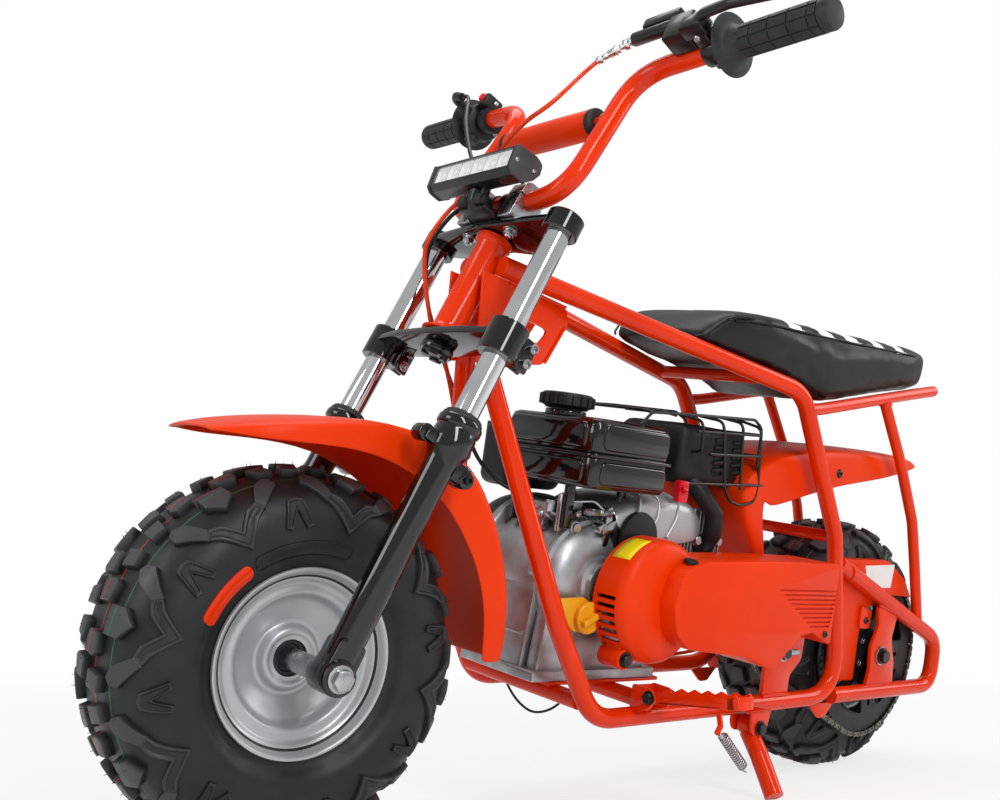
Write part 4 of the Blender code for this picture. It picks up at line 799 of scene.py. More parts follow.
# Lug tops are mixed towards pale grey by their height above the skin: a painted highlight, partly dust.
lug_top_dust_and_highlight = add(
    tree, "MapRange", {"Value": rise, "From Min": DUST_AND_HIGHLIGHT_FROM, "From Max": DUST_AND_HIGHLIGHT_AT, "To Max": DUST_AND_HIGHLIGHT_SHARE}
).outputs["Result"]
mixed = add(tree, "Mix", {"Factor": lug_top_dust_and_highlight, "A": rubber_colour, "B": linear("4A4B4E")}, data_type="RGBA")
rubber_colour = mixed.outputs["Result"]
DYE_LINES = (("A81F12", 9.0, 1.0), ("2F6B45", 36.0, 0.55))
for colour, at, half_width in DYE_LINES:
    near = add(tree, "Math", {0: across, 1: at, 2: half_width}, operation="COMPARE")
    mixed = add(tree, "Mix", {"Factor": near.outputs[0], "A": rubber_colour, "B": linear(colour)}, data_type="RGBA")
    rubber_colour = mixed.outputs["Result"]
tree.links.new(rubber_colour, shader.inputs["Base Color"])
MATS["tyre"] = tyre_mat

# %% Both tyres
front_tread = tyre("front_tread", "front_wheel", FORK, TREAD_PHASE["front"])
tyre("rear_tread", "rear_wheel", REAR, TREAD_PHASE["rear"])
print("faces of a tyre:", len(front_tread.data.polygons))

# %% [markdown]
# The front left side wall carries a moulded frame and a red patch. They are outlines on the flat tread too,
# pushed up a little and wrapped with it. Whatever the real ones say is left off.

# %% Side wall patch
PATCH_AT = 11.8


def oval(half_length, v_low, v_high, height, strip=5.0):
    middle, half = (v_low + v_high) / 2, (v_high - v_low) / 2
    ends = [math.radians(a) for a in range(-90, 91, 18)]
    right = [((half_length - half) + half * math.cos(a), middle + half * math.sin(a)) for a in ends]
    corners = right + [(-u, v) for u, v in reversed(right)]
    return tread_block(corners, height, draft=0.5, edge=0.2, strip=strip)


patch = wrap(oval(50, 106.0, 124.5, 1.1), PATCH_AT)
piece("tyre_patch", patch, "frame_red", "front_wheel", FORK)
frame_oval = oval(80, 105.5, 121.5, 1.6)
inner = [f for f in frame_oval.faces if f.calc_center_median().z > 0.9 * MM]
bmesh.ops.inset_region(frame_oval, faces=inner, thickness=1.1 * MM, depth=-0.8 * MM)
piece("side_wall_frame", wrap(frame_oval, PATCH_AT + 45), "tyre", "front_wheel", FORK)

# %% [markdown]
# ## Rims
#
# Each rim is two steel pressings riveted together and painted silver. Its face runs in from the flange over a
# bead step, down a dish and out again to the hub, all round and smooth, so it is one outline spun once. The
# black ring in the hub is the seal of the wheel bearing.

# %% Rims
RIM_FACE = (
    # radius, half width
    (88.6, 58.6), (88.8, 60.4), (88.0, 61.8), (86.6, 62.0), (85.4, 61.2), (84.2, 59.6), (83.0, 57.4), (81.8, 55.0),
    (80.6, 53.2), (79.0, 52.2), (77.4, 51.6), (75.6, 49.8), (73.8, 47.6), (71.6, 46.4), (69.0, 46.6), (66.4, 47.4),
    (64.0, 47.2), (62.0, 45.6), (60.4, 42.8), (58.8, 39.8), (56.8, 37.4), (54.0, 35.4), (48.0, 32.0), (42.0, 28.8),
    (36.6, 25.8), (33.6, 24.6), (31.6, 25.4), (30.2, 28.0), (29.0, 31.4), (27.6, 33.6), (25.6, 34.4), (23.4, 34.2),
    (22.2, 33.0), (21.0, 32.4),
)
HUB_BORE = 17.5


def rim(name, body, where, node):
    profile = [(78.2, 48.0), (84.6, 56.6)] + list(RIM_FACE) + [(HUB_BORE, 32.4), (HUB_BORE, 20.0), (8.6, 20.0)]
    profile += [(8.6, -20.0), (HUB_BORE, -20.0), (HUB_BORE, -32.4)] + [(r, -y) for r, y in reversed(RIM_FACE)]
    profile += [(84.6, -56.6), (78.2, -48.0)]
    piece(name, turned(profile, 112, "Y"), "silver_paint", body, where, [node], smooth=50)
    seal = [
        (8.8, 20.5), (HUB_BORE - 0.1, 20.5), (HUB_BORE - 0.1, 29.0), (16.0, 29.8), (13.6, 29.4), (12.4, 27.2),
        (8.8, 27.0)
    ]
    other = [(r, -y) for r, y in seal]
    piece(name + "_seals", merge(turned(seal, 48, "Y"), turned(other, 48, "Y")), "rubber", body, where)


rim("front_pressed_rim", "front_wheel", FORK, "front_rim")
rim("rear_pressed_rim", "rear_wheel", REAR, "rear_rim")

# %% [markdown]
# ## Front axle
#
# A plain steel axle runs through the bearings. Grey zinc tubes space the hub from the fork legs, and a washer
# and nut hold each end, with the thread standing proud.

# %% Front axle
FORK_LEG = 113.0
parts = [rod((0, -140, 0), (0, 140, 0), 7.4, 0.8)]
for side in (1, -1):
    parts.append(rod((0, side * 27.5, 0), (0, side * 95.2, 0), 10.4, 0.5, 40))
    parts.append(rod((0, side * 130.6, 0), (0, side * 132.4, 0), 12.6, 0.4, 40))
    parts.append(place(hexagon(10.4, 0, 7.5), AXIS_TURNS["Y"] if side > 0 else Matrix.Rotation(math.pi / 2, 4, "X")))
    shift(parts[-1], 0, side * 132.4, 0)
piece("front_axle_set", merge(*parts), "bare_steel", "steering", FORK, ["front_axle"])

# %% [markdown]
# ## Fork
#
# Each leg is a chrome-plated tube that slides in a black painted one. The slider grows into a thick collar at
# its top, with lugs for the mudguard screws before and behind it, and ends in a round lug on the axle. A rubber
# dust seal with a thin lip sits on the collar. The sliders are cast, so where their forms meet the edges are
# rounded.

# %% Sliders
SLIDER = (
    # radius, height
    (0, 12), (13.6, 12), (15.6, 16), (15.6, 212), (16.6, 219), (20.2, 226), (21.4, 229), (21.4, 247), (20.4, 248.6),
    (20.4, 250.0), (22.0, 251.4), (22.6, 254), (22.4, 258.4), (21.0, 260.6), (13.6, 260.6), (13.6, 215), (0, 215),
)
SEAL = (
    (13.1, 260.0), (19.6, 260.0), (20.6, 261.4), (20.2, 263.2), (18.6, 263.8), (18.8, 265.6), (17.0, 267.0),
    (14.6, 267.6), (13.1, 268.6),
)
for side, word in ((1, "left"), (-1, "right")):
    y = side * FORK_LEG
    body = shift(turned(SLIDER, 56), 0, y, 0)
    lug = rod((0, y - 17.2, 0), (0, y + 17.2, 0), 16.6, 1.2, 48)
    neck = slab([(-15.0, 0, 2), (15.0, 0, 2), (14.0, 34, 6), (-14.0, 34, 6)], y - 13.4, y + 13.4, 5)
    front_ear = rod((29, y - side * 14, 232), (29, y + side * 3, 232), 8.6, 1.6, 32)
    front_web = block((12, y - 7, 225), (31, y + 7, 239), 3)
    rear_ear = rod((-30, y - side * 12, 214), (-30, y + side * 8, 214), 9.0, 1.8, 32)
    rear_web = block((-32, y - 7, 206), (-10, y + 7, 226), 3)
    low_ear = rod((-22.5, y - side * 4, 238), (-22.5, y - side * 29, 238), 7.0, 1.0, 24)
    parts = merge(body, lug, neck, front_ear, front_web, rear_ear, rear_web, low_ear)
    piece(f"cast_slider_{word}", parts, "black_gloss", "steering", FORK, [f"fork_slider_{word}"], smooth=40)
    piece(f"dust_seal_{word}", shift(turned(SEAL, 48), 0, y, 0), "rubber", "steering", FORK)
    profile = [(0, 212.5), (13.0, 212.5), (13.0, 504.2), (12.2, 505.0), (9.0, 505.0), (8.6, 503.0), (0, 503.0)]
    tube_leg = shift(turned(profile, 56), 0, y, 0)
    piece(f"chromed_stanchion_{word}", tube_leg, "chrome", "steering", FORK, [f"stanchion_{word}"], smooth=40)

# %% [markdown]
# The two clamps are bent and drilled steel plates with rings for the legs, dipped in thick gloss black. The
# rings of the lower one are split behind and pulled tight by two socket screws each. Four nuts under the upper
# one hold the handlebar, and a slotted ring nut closes the steering stem below.

# %% Fork clamps
UPPER_PLATE = [
    (17, -113, 12), (21, -60, 30), (24, 0, 60), (21, 60, 30), (17, 113, 12), (-17, 113, 12), (-31, 62, 18),
    (-35, 36, 16), (-24, 0, 30), (-35, -36, 16), (-31, -62, 18), (-17, -113, 12),
]
LOWER_PLATE = [
    (17, -113, 12), (22, -60, 30), (24, 0, 60), (22, 60, 30), (17, 113, 12), (-17, 113, 12), (-22, 60, 30),
    (-24, 0, 60), (-22, -60, 30), (-17, -113, 12),
]


def leg_ring(low, high, outer=20.5):
    """A ring round each fork leg, its rims rounded."""
    profile = [
        (13.3, low), (outer - 1.2, low), (outer, low + 1.2), (outer, high - 1.2), (outer - 1.2, high), (13.3, high)
    ]
    return merge(*[shift(turned(profile, 48), 0, side * FORK_LEG, 0) for side in (1, -1)])


upper = merge(slab(UPPER_PLATE, 487, 494.5, 1.4, "Z"), leg_ring(480, 501.5, 19.6))
piece("upper_yoke", upper, "black_gloss", "steering", FORK, ["upper_clamp"], smooth=40)
parts = [slab(LOWER_PLATE, 350.5, 358.5, 1.4, "Z"), leg_ring(334, 370)]
screws = []
for side in (1, -1):
    for gap in (-7.2, 2.4):
        parts.append(block((-35.5, side * FORK_LEG + gap, 335), (-16, side * FORK_LEG + gap + 4.8, 369), 1.6))
    for z in (343.5, 360.5):
        screws.append(((-28.5, side * (FORK_LEG + 7.4), z), (0, side, 0), "cap", 6.4))
parts += [turned([(0, 340), (17.0, 340), (18.0, 341.4), (18.0, 347), (16.0, 350.6), (0, 350.6)], 40)]
lower = merge(*parts)
piece("lower_yoke", lower, "black_gloss", "steering", FORK, ["lower_clamp"], smooth=40)
screws += [
    ((-28.5, side * (FORK_LEG - 7.4), z), (0, -side, 0), "nut", 5.0) for side in (1, -1) for z in (343.5, 360.5)
]
fasteners("yoke_screws", "bare_steel", screws, "steering", FORK)

nut_slots = [block((-4, -19, 333), (4, 19, 337.5)), block((-19, -4, 333), (19, 4, 337.5))]
ring_nut = turned([(7, 335.2), (13.6, 335.2), (14.6, 336.2), (14.6, 343), (7, 343)], 32)
piece("stem_ring_nut", cut(ring_nut, *nut_slots), "black_satin", "steering", FORK)
stem = merge(turned([(0, 338), (11.9, 338), (11.9, 497), (0, 497)], 40), hexagon(16.4, 495.4, 503.4))
stem = merge(
    stem, turned([(0, 495), (18.2, 495), (18.2, 496.6), (0, 496.6)], 40), rod((0, 0, 503), (0, 0, 507), 9, 0.8, 24)
)
piece("stem_and_nut", stem, "bare_steel", "steering", FORK, ["steering_stem"])
under = both([((10, 38, 487), (0, 0, -1), "nut", 7.0)])
fasteners("handlebar_nuts", "bare_steel", under, "steering", FORK)

# %% [markdown]
# ## Handlebar
#
# The bar is one bent tube, powder coated in the frame's orange-red, with a thin cross bar welded between its
# arms. It is swept along its bend points, and a plain bead of weld runs round each end of the cross bar.

# %% Handlebar
BAR_PATH = [
    (-16.5, -340, 715.5), (-6, -100, 697), (10, -104, 524), (10, 104, 524), (-6, 100, 697), (-16.5, 340, 715.5)
]
bar = merge(tube(BAR_PATH, 11.0, bend=48, sides=36, steps=10), rod((0.08, -99, 631.3), (0.08, 99, 631.3), 6.0, 0, 24))
for side in (1, -1):
    joint = ring_points((0.08, side * 90.5, 631.3), (0, 0, 6.6), (6.6, 0, 0), 14)
    bar = merge(bar, tube(joint, 1.6, bend=0, sides=8))
piece("bent_handlebar", bar, "frame_red", "steering", FORK, ["handlebar"], smooth=40)

GRIP_LENGTH = 116.0
grip_start, grip_end = Vector((-6, 100, 697)), Vector((-16.5, 340, 715.5))
grip_way = (grip_end - grip_start).normalized()


def bar_axes(side, back):
    """Axes at a distance back from the bar's end, z outwards along it and x forward."""
    way = Vector((grip_way.x, side * grip_way.y, grip_way.z))
    end = Vector((grip_end.x, side * grip_end.y, grip_end.z)) - way * back
    ahead = (Vector((1, 0, 0)) - way * way.x).normalized()
    return axes(ahead, way.cross(ahead), way, end * MM)


# %% [markdown]
# A grip is moulded rubber: a wide thin flange, a smooth neck, then raised pads in a waffle of narrow grooves.
# The pads are a flat grid of blocks, bent round the sleeve.

# %% Grips
SLEEVE = (
    # radius, along from the flange
    (11.2, 0), (31.0, 0), (32.4, 0.8), (32.4, 2.2), (31.0, 3.0), (25.0, 3.6), (20.5, 5.6), (18.2, 9.0), (17.0, 13.0),
    (15.2, 16.0), (15.2, 108.0), (16.4, 109.4), (16.6, 117.0), (15.6, 119.4), (13.0, 120.2), (0, 120.6), (0, 116.4),
    (11.2, 116.4),
)
WAFFLE = ((18.0, 14.0), (33.5, 20.5), (55.5, 20.5), (77.5, 20.5), (99.5, 8.5))
PADS_ROUND = 9


def waffle():
    """The pads of a grip, made flat and bent round the sleeve."""
    pads = []
    round_mm = math.tau * 15.2
    for i in range(PADS_ROUND):
        for start, length in WAFFLE:
            low = i * round_mm / PADS_ROUND + 0.75
            pad = block((low, start, -0.6), (low + round_mm / PADS_ROUND - 1.5, start + length, 1.5), 0.5, 1)
            for k in (1, 2):
                spot = mm(low + k * (round_mm / PADS_ROUND - 1.5) / 3, 0, 0)
                geom = pad.verts[:] + pad.edges[:] + pad.faces[:]
                bmesh.ops.bisect_plane(pad, geom=geom, plane_co=spot, plane_no=(1, 0, 0))
            pads.append(pad)
    bm = merge(*pads)
    for vert in bm.verts:
        angle = vert.co.x / (round_mm * MM) * math.tau
        radius = 15.2 * MM + vert.co.z
        vert.co = (radius * math.cos(angle), radius * math.sin(angle), vert.co.y)
    return bm


for side, word in ((1, "left"), (-1, "right")):
    grip = place(merge(turned(SLEEVE, 56), waffle()), bar_axes(side, GRIP_LENGTH))
    piece(f"waffle_grip_{word}", grip, "rubber", "steering", FORK, [f"grip_{word}"], smooth=35)

# %% [markdown]
# ## Controls
#
# On the left a cast perch holds the brake lever, with a threaded barrel that adjusts the cable. On the right
# sits a twist throttle whose housing has a drum flange and a curved elbow for its cable, and beside it a pod
# with the stop switch. These are small castings and mouldings, each put together from turned, bent and bevelled
# forms in axes that run along the bar.

# %% Brake perch and lever
AT_LEFT = bar_axes(1, GRIP_LENGTH + 19)
BARREL_END = (30, -20, -97)
CABLE_START = (30, -5, -146)
perch = merge(
    turned([(11.2, -9), (14.6, -9), (15.4, -8), (15.4, 8), (14.6, 9), (11.2, 9)], 40),
    block((10, -8, -9), (31, 8, 9), 2.2), block((25, -10, -17), (44, 8, 12), 3.0),
    rod((30, -20, -30), BARREL_END, 7.4, 1.0, 28), block((-19, -7, -8), (-10, 7, 8), 1.8),
    block((11, -27, -44), (38, 6, -12), 3.0), block((24, -38, -84), (38, -25, -34), 2.5),
)
piece("brake_perch", place(perch, AT_LEFT), "black_satin", "steering", FORK, smooth=40)
lever = tube(
    [(36, -2, -4), (44, -2, 14), (46, -1, 48), (41, 0, 92), (37, 0, 122), (33, 0, 130)], 5.2, bend=18, sides=20
)
bmesh.ops.scale(lever, vec=(1, 1.25, 1), verts=lever.verts)
knob = bmesh.new()
bmesh.ops.create_uvsphere(knob, u_segments=20, v_segments=14, radius=7.2 * MM)
lever = merge(lever, shift(knob, 33, 0, 131))
piece("brake_lever", place(lever, AT_LEFT), "black_satin", "steering", FORK, smooth=50)
way = (Vector(CABLE_START) - Vector(BARREL_END)).normalized()
adjuster = []
for start, end, radius in (
    (-3, 9, 4.2), (6, 13, 6.0), (12, 20, 3.0), (18, 34, 4.6), (22, 25, 5.6), (33, 44, 3.2), (42, 50, 4.4)
):
    adjuster.append(
        rod(tuple(Vector(BARREL_END) + way * start), tuple(Vector(BARREL_END) + way * end), radius, 0.5, 20)
    )
piece("cable_adjuster", place(merge(*adjuster), AT_LEFT), "chrome", "steering", FORK)
rows = [
    ((36, -10.4, -4), (0, -1, 0), "cap", 5.4), ((-14.5, -7.2, 3.5), (0, -1, 0), "cap", 3.6),
    ((26, 8.2, -2), (0, 1, 0), "button", 4)
]
fasteners("perch_screws", "bare_steel", rows, "steering", FORK @ AT_LEFT)

# %% Throttle housing and stop switch
AT_RIGHT = bar_axes(-1, GRIP_LENGTH + 17)
housing = merge(
    turned([(11.2, -12), (20, -12), (23.5, -10.5), (24.5, -8), (24.5, 6), (23.5, 8.5), (20.5, 10), (18.5, 13),
    (11.2, 13)], 48),
    rod((0, -18, -1), (0, -31, -1), 8.6, 1.2, 28), rod((24, 0, -1), (33, 0, -1), 7.0, 0.8, 24),
    tube([(30, 0, -1), (45, 0, -1), (52, -2, -14), (50, -6, -30)], 5.4, bend=16, sides=24),
    turned([(11.2, -31), (15.5, -31), (16.5, -30), (16.5, -18), (15.5, -17), (11.2, -17)], 40),
    block((-2, 8, -32), (24, 25, -14), 3.2), block((-20, -9, -30), (-10, 6, -18), 2.0),
)
piece("throttle_housing", place(housing, AT_RIGHT), "black_plastic", "steering", FORK, smooth=40)
button = turned([(0, 0), (5.4, 0), (5.4, 2.6), (4.4, 3.6), (0, 3.9)], 28)
place(button, Matrix.Translation(mm(24, 16.5, -23)) @ AXIS_TURNS["X"])
piece("stop_button", place(button, AT_RIGHT), "switch_red", "steering", FORK)
rows = [
    ((0, -10, 8.8), (0, 0, 1), "button", 3.0), ((8, 18, -32), (0, 0, -1), "button", 3.0),
    ((-15, -9, -24), (0, -1, 0), "cap", 3.4)
]
fasteners("throttle_screws", "bare_steel", rows, "steering", FORK @ AT_RIGHT)

# %% [markdown]
# Two cast blocks hold the bar on the upper clamp, each a foot and a cap with two socket screws.

# %% Bar clamps
for side, word in ((1, "left"), (-1, "right")):
    low, high = sorted((side * 26.5, side * 49.5))
    foot = slab([(-7, 495.4, 2), (27, 495.4, 2), (27, 523.2, 1), (-7, 523.2, 1)], low, high, 1.2)
    cap = slab(
        [(-7, 524.8, 1), (27, 524.8, 1), (25, 538, 6), (18, 541.6, 6), (2, 541.6, 6), (-5, 538, 6)], low, high, 1.2
    )
    bore = rod((10, low - 5, 524), (10, high + 5, 524), 11.1, 0, 40)
    clamp = cut(merge(foot, cap), bore)
    piece(f"cast_bar_clamp_{word}", clamp, "bare_steel", "steering", FORK, [f"bar_clamp_{word}"], smooth=40)
rows = both([((-2.5, 38, 539.4), (0, 0, 1), "cap", 4.6), ((22.5, 38, 539.4), (0, 0, 1), "cap", 4.6)])
fasteners("bar_clamp_screws", "bare_steel", rows, "steering", FORK)

# %% [markdown]
# ## Frame
#
# The frame is mild steel tube, bent cold, welded and powder coated. One closed loop runs down each side, with a
# hoop behind it that guards the wheel, and thinner tubes carry the seat. A bent tube is a circle swept along
# straight runs that meet in round bends, so the tables below are the bend points of a workshop drawing.

# %% Frame tubes
RAIL_Y = 101.5
SEAT_Y = 100.0


def sided(points, side):
    return [(x, side * y, z) for x, y, z in points]


LOOP = (
    (735, 28.3, 593), (268, RAIL_Y, 524), (152, RAIL_Y, 345), (100, RAIL_Y, 127), (580, RAIL_Y, 121),
    (645, 93.5, 225), (728.5, 17.5, 489), (731, 15.5, 527.5),
)
HOOP = ((134, RAIL_Y, 308), (-156, RAIL_Y, 201), (-156, RAIL_Y, 131), (112, RAIL_Y, 127))
SEAT_RAIL = ((256, SEAT_Y, 502), (220, SEAT_Y, 508), (0, SEAT_Y, 556), (-58, SEAT_Y, 568))
STRUT = ((72, SEAT_Y, 541), (8, SEAT_Y, 460), (-48, SEAT_Y, 375), (-70, SEAT_Y, 315), (-97, RAIL_Y, 226))
DROPOUT = [
    (-34, 236, 4), (20, 252, 5), (12, 222, 14), (26, 192, 16), (22, 160, 12), (28, 136, 4), (-44, 134, 4),
    (-40, 168, 14), (-26, 204, 16),
]
for side, word in ((1, "left"), (-1, "right")):
    loop = tube(sided(LOOP, side), 11.0, bend=58, sides=36, steps=10)
    piece(f"bent_loop_{word}", loop, "frame_red", stands_for=[f"frame_loop_{word}"], smooth=45)
    low, high = sorted((side * (RAIL_Y - 3), side * (RAIL_Y + 3)))
    ear = slab(DROPOUT, low, high, 0.8)
    hoop = merge(tube(sided(HOOP, side), 11.0, bend=38, sides=32, steps=9), ear)
    edge_z = side * (RAIL_Y + 3.4)
    hoop = merge(hoop, bead([(-36, edge_z, 238), (22, edge_z, 253)]), bead([(-44, edge_z, 137), (28, edge_z, 138)]))
    around = ring_points((110, side * RAIL_Y, 299), (4.5, 0, 12), (0, 12, 0), 20)
    hoop = merge(hoop, bead(around, 1.8))
    piece(f"rear_guard_{word}", hoop, "frame_red", stands_for=[f"rear_hoop_{word}"], smooth=45)
    rail = tube(sided(SEAT_RAIL, side), 8.0, bend=32, sides=28)
    cap = turned([(0, 0), (8, 0), (7.4, 2.6), (4.4, 4.6), (0, 5.2)], 28, "X")
    place(cap, Matrix.Translation(mm(-58, side * SEAT_Y, 568)) @ Matrix.Rotation(math.radians(-168), 4, "Y"))
    strut = tube(sided(STRUT, side), 7.7, bend=80, sides=28)
    seam = bead(ring_points((66, side * SEAT_Y, 533), (8.4, 0, -2.4), (0, 8.4, 0), 16), 1.5)
    piece(
        f"seat_rail_tubes_{word}", merge(rail, cap, strut, seam), "frame_red", stands_for=[f"seat_rail_{word}"],
        smooth=45
    )

# %% [markdown]
# The head tube is turned, with a flared cup pressed into each end. Two flat gussets join it to both frame
# tubes on each side, cut with a window and welded along their rims.

# %% Head tube and gussets
WHEELBASE, HEAD_ANGLE = 924, 24.2
HEAD = Matrix.Translation(mm(WHEELBASE, 0, TYRE_RADIUS / MM)) @ Matrix.Rotation(math.radians(-HEAD_ANGLE), 4, "Y")
TUBE_AND_CUPS = [
    (13.5, 360), (22.5, 360), (26.0, 361.2), (26.0, 362.6), (21.0, 365.0), (18.6, 368.0), (17.2, 371.0), (17.0, 374),
    (17.0, 474), (18.2, 477), (20.5, 479), (20.5, 485), (13.5, 485),
]
GUSSET = [(758, 584, 0), (632, 566, 12), (626, 548, 10), (657, 498, 14), (752, 487, 0)]
WINDOW = [(700, 545, 8), (655, 537, 8), (668, 520, 6), (700, 524, 6)]
turned_head = place(turned(TUBE_AND_CUPS, 48), HEAD)
plates = []
for side in (1, -1):
    low, high = sorted((side * 25.5, side * 28.5))
    sheet = slab(GUSSET, low, high, 0.7)
    window = slab(WINDOW, low - 5, high + 5, 0)
    plates += [cut(sheet, window)]
    plates += [
        bead([(634, side * 29.5, 566), (722, side * 29.5, 579)]),
        bead([(728, side * 27, 500), (748, side * 27, 560)])
    ]
    plates += [bead([(746, side * 17, 500), (722, side * 17, 556), (716, side * 17, 574)], 2.2)]
    plates += [bead([(655, side * 29.2, 500), (631, side * 29.2, 545)], 1.5)]
piece("head_and_gussets", merge(turned_head, *plates), "frame_red", stands_for=["head_tube"], smooth=40)

# %% [markdown]
# ## Mudguards
#
# Both mudguards are thin injection-moulded plastic in orange-red. Each is a row of points across the guard,
# extruded from station to station along it, then given a wall and a subdivision surface that smooths it.

# %% Front mudguard
FRONT_GUARD = (
    # angle about the axle in the fork's axes, crown radius, half width, side wall depth
    (36.5, 236, 50, 3), (39, 234, 60, 7), (47, 229, 80, 18), (62, 227, 84, 25), (80, 240, 78, 36), (98, 255, 74, 52),
    (110, 250, 78, 52), (126, 233, 83, 40), (140, 224, 83, 36), (152, 217, 80, 32), (155, 216, 76, 28),
)


def guard_row(out, radius, half, depth, base=Vector((0, 0, 0))):
    """Points across a mudguard: skirt, rounded edge, nearly flat crown, and the same on the other side."""
    shares = ((-1, depth), (-1.0, depth * 0.55 + 3), (-0.985, 7), (-0.93, 2.4), (-0.6, 0.3), (0, 0))
    shares += tuple((-s, d) for s, d in reversed(shares[:-1]))
    return [tuple(base + out * (radius - min(drop, depth)) + Vector((0, share * half, 0))) for share, drop in shares]


rows = []
for angle, radius, half, depth in FRONT_GUARD:
    a = math.radians(angle)
    rows.append(guard_row(Vector((math.cos(a), 0, math.sin(a))), radius, half, depth))
piece("front_mudguard", skin(rows), "red_plastic", "steering", FORK, ["front_fender"], 60, subsurf=2, wall=2.6)
rows = [((29, side * 99, 232), (0, side, 0), "button", 5.5) for side in (1, -1)]
rows += [((-30, side * 121, 214), (0, side, 0), "cap", 5.2) for side in (1, -1)]
fasteners("front_guard_screws", "black_satin", rows, "steering", FORK)

# %% Rear mudguard
REAR_GUARD = (
    # x, z of the crown, half width, side wall depth
    (262, 286, 68, 12), (283, 304, 72, 22), (322, 352, 77, 40), (336, 385, 79, 52), (316, 420, 80, 62),
    (262, 442, 80, 66),
    (190, 456, 80, 60), (110, 464, 80, 50), (20, 468, 80, 40), (-60, 468, 76, 22), (-98, 464, 66, 10),
    (-120, 460, 52, 4),
)
rows = []
for i, (x, z, half, depth) in enumerate(REAR_GUARD):
    before, after = REAR_GUARD[max(i - 1, 0)], REAR_GUARD[min(i + 1, len(REAR_GUARD) - 1)]
    out = Vector((after[1] - before[1], 0, before[0] - after[0])).normalized()
    rows.append(guard_row(out, 0, half, depth, Vector((x, 0, z))))
piece("rear_mudguard", skin(rows), "red_plastic", stands_for=["rear_fender"], smooth=60, subsurf=2, wall=2.6)
rows = [((128, 80.5, 428), (0, 1, 0), "button", 6.5), ((250, 80.5, 306), (0, 1, 0), "button", 5.0)]
fasteners("rear_guard_screws", "black_satin", both(rows))

# %% [markdown]
# ## Light bar
#
# The lamp is an extruded aluminium bar with a clear window over six light-emitting diodes, each in a square
# bright reflector. Flat end caps close it, held by two screws, and two feet with knurled bolts carry it.

# %% Light bar
LAMP_LEAN = 16
DIODES, DIODE_PITCH = 6, 23.2
LAMP = FORK @ Matrix.Translation(mm(51, 0, 536)) @ Matrix.Rotation(math.radians(HEAD_ANGLE - LAMP_LEAN), 4, "Y")
LAMP_SECTION = [
    (17, 12.5, 1), (17, -12.5, 1), (11, -18, 2), (-2, -20, 4), (-13, -12, 5), (-19, -2, 5), (-18, 8, 6),
    (-8, 12.5, 5)
]


def lamp_slab(low, high, edge, grow=0.0):
    corners = [(x + math.copysign(grow, x), z + math.copysign(grow, z), r) for x, z, r in LAMP_SECTION]
    return slab(corners, low, high, edge)


window = block((12, -71, -10.5), (22, 71, 10.5), 0.5)
seam = place(
    block((0, -76, -1.2), (9, 76, 1.2), 0), Matrix.Translation(mm(8, 0, -21.5)) @ Matrix.Rotation(0.6, 4, "Y")
)
housing = cut(lamp_slab(-75, 75, 0.6), window, seam)
piece("lamp_housing", housing, "black_satin", "steering", LAMP, ["light_bar"], smooth=35)
caps = merge(lamp_slab(75.3, 79.3, 0.9, 0.6), lamp_slab(-79.3, -75.3, 0.9, 0.6))
piece("lamp_end_caps", caps, "grey_plastic", "steering", LAMP, smooth=35)
cups = [block((12.1, -69 + i * DIODE_PITCH, -9.6), (14.9, -47.4 + i * DIODE_PITCH, 9.6)) for i in range(DIODES)]
for cup in cups:
    face = max(cup.faces, key=lambda f: f.normal.x)
    bmesh.ops.inset_region(cup, faces=[face], thickness=0.7 * MM, depth=0)
    bmesh.ops.inset_region(cup, faces=[face], thickness=6.0 * MM, depth=-2.3 * MM)
piece("lamp_reflectors", merge(*cups), "lamp_mirror", "steering", LAMP, smooth=20)
dies = [
    rod((12.4, -58.2 + i * DIODE_PITCH, 0), (13.7, -58.2 + i * DIODE_PITCH, 0), 3.4, 0.4, 20) for i in range(DIODES)
]
piece("lamp_diodes", merge(*dies), "clear_white", "steering", LAMP)
piece("lamp_window", block((15.2, -71, -10.5), (16.8, 71, 10.5), 0.3), "lamp_glass", "steering", LAMP)
feet = []
for y in (-15, 15):
    feet += [
        rod((-2, y, -16), (-2, y, -27), 5.0, 0.6, 24),
        turned([(0, -38), (8.5, -38), (9.4, -37), (9.4, -29), (8.5, -28), (0, -28)], 14)
    ]
    shift(feet[-1], -2, y, 0)
piece("lamp_feet", merge(*feet), "black_plastic", "steering", LAMP, smooth=30)
bracket = tube([(38, 0, 500), (44, 0, 506), (46, 0, 516)], 9.0, bend=6, sides=20)
strap = turned([(11.2, -8), (13.0, -8), (13.0, 8), (11.2, 8)], 40, "Y")
strap = merge(copies(strap, [Matrix.Translation(mm(10, y, 524)) for y in (-16, 16)]), bracket)
strap = merge(strap, block((8, -24, 494.8), (44, 24, 499.5), 1.0))
piece("lamp_bracket", strap, "black_satin", "steering", FORK, smooth=35)
rows = [((13 * a, side * 79.6, -3), (0, side, 0), "button", 2.6) for side in (1, -1) for a in (1, -0.8)]
fasteners("lamp_screws", "bare_steel", rows, "steering", LAMP)

# %% [markdown]
# ## Engine
#
# A small horizontal-shaft four-stroke sits on a plate between the lower rails: a die-cast crankcase with a
# bolted side cover, a finned cylinder that leans back under a steel shroud, a fuel tank on top, a silencer
# behind it in a wire guard, and the starter housing on the right. The castings are turned and bevelled forms
# set into each other, as a pattern maker builds them up, and small parts fill the places between.

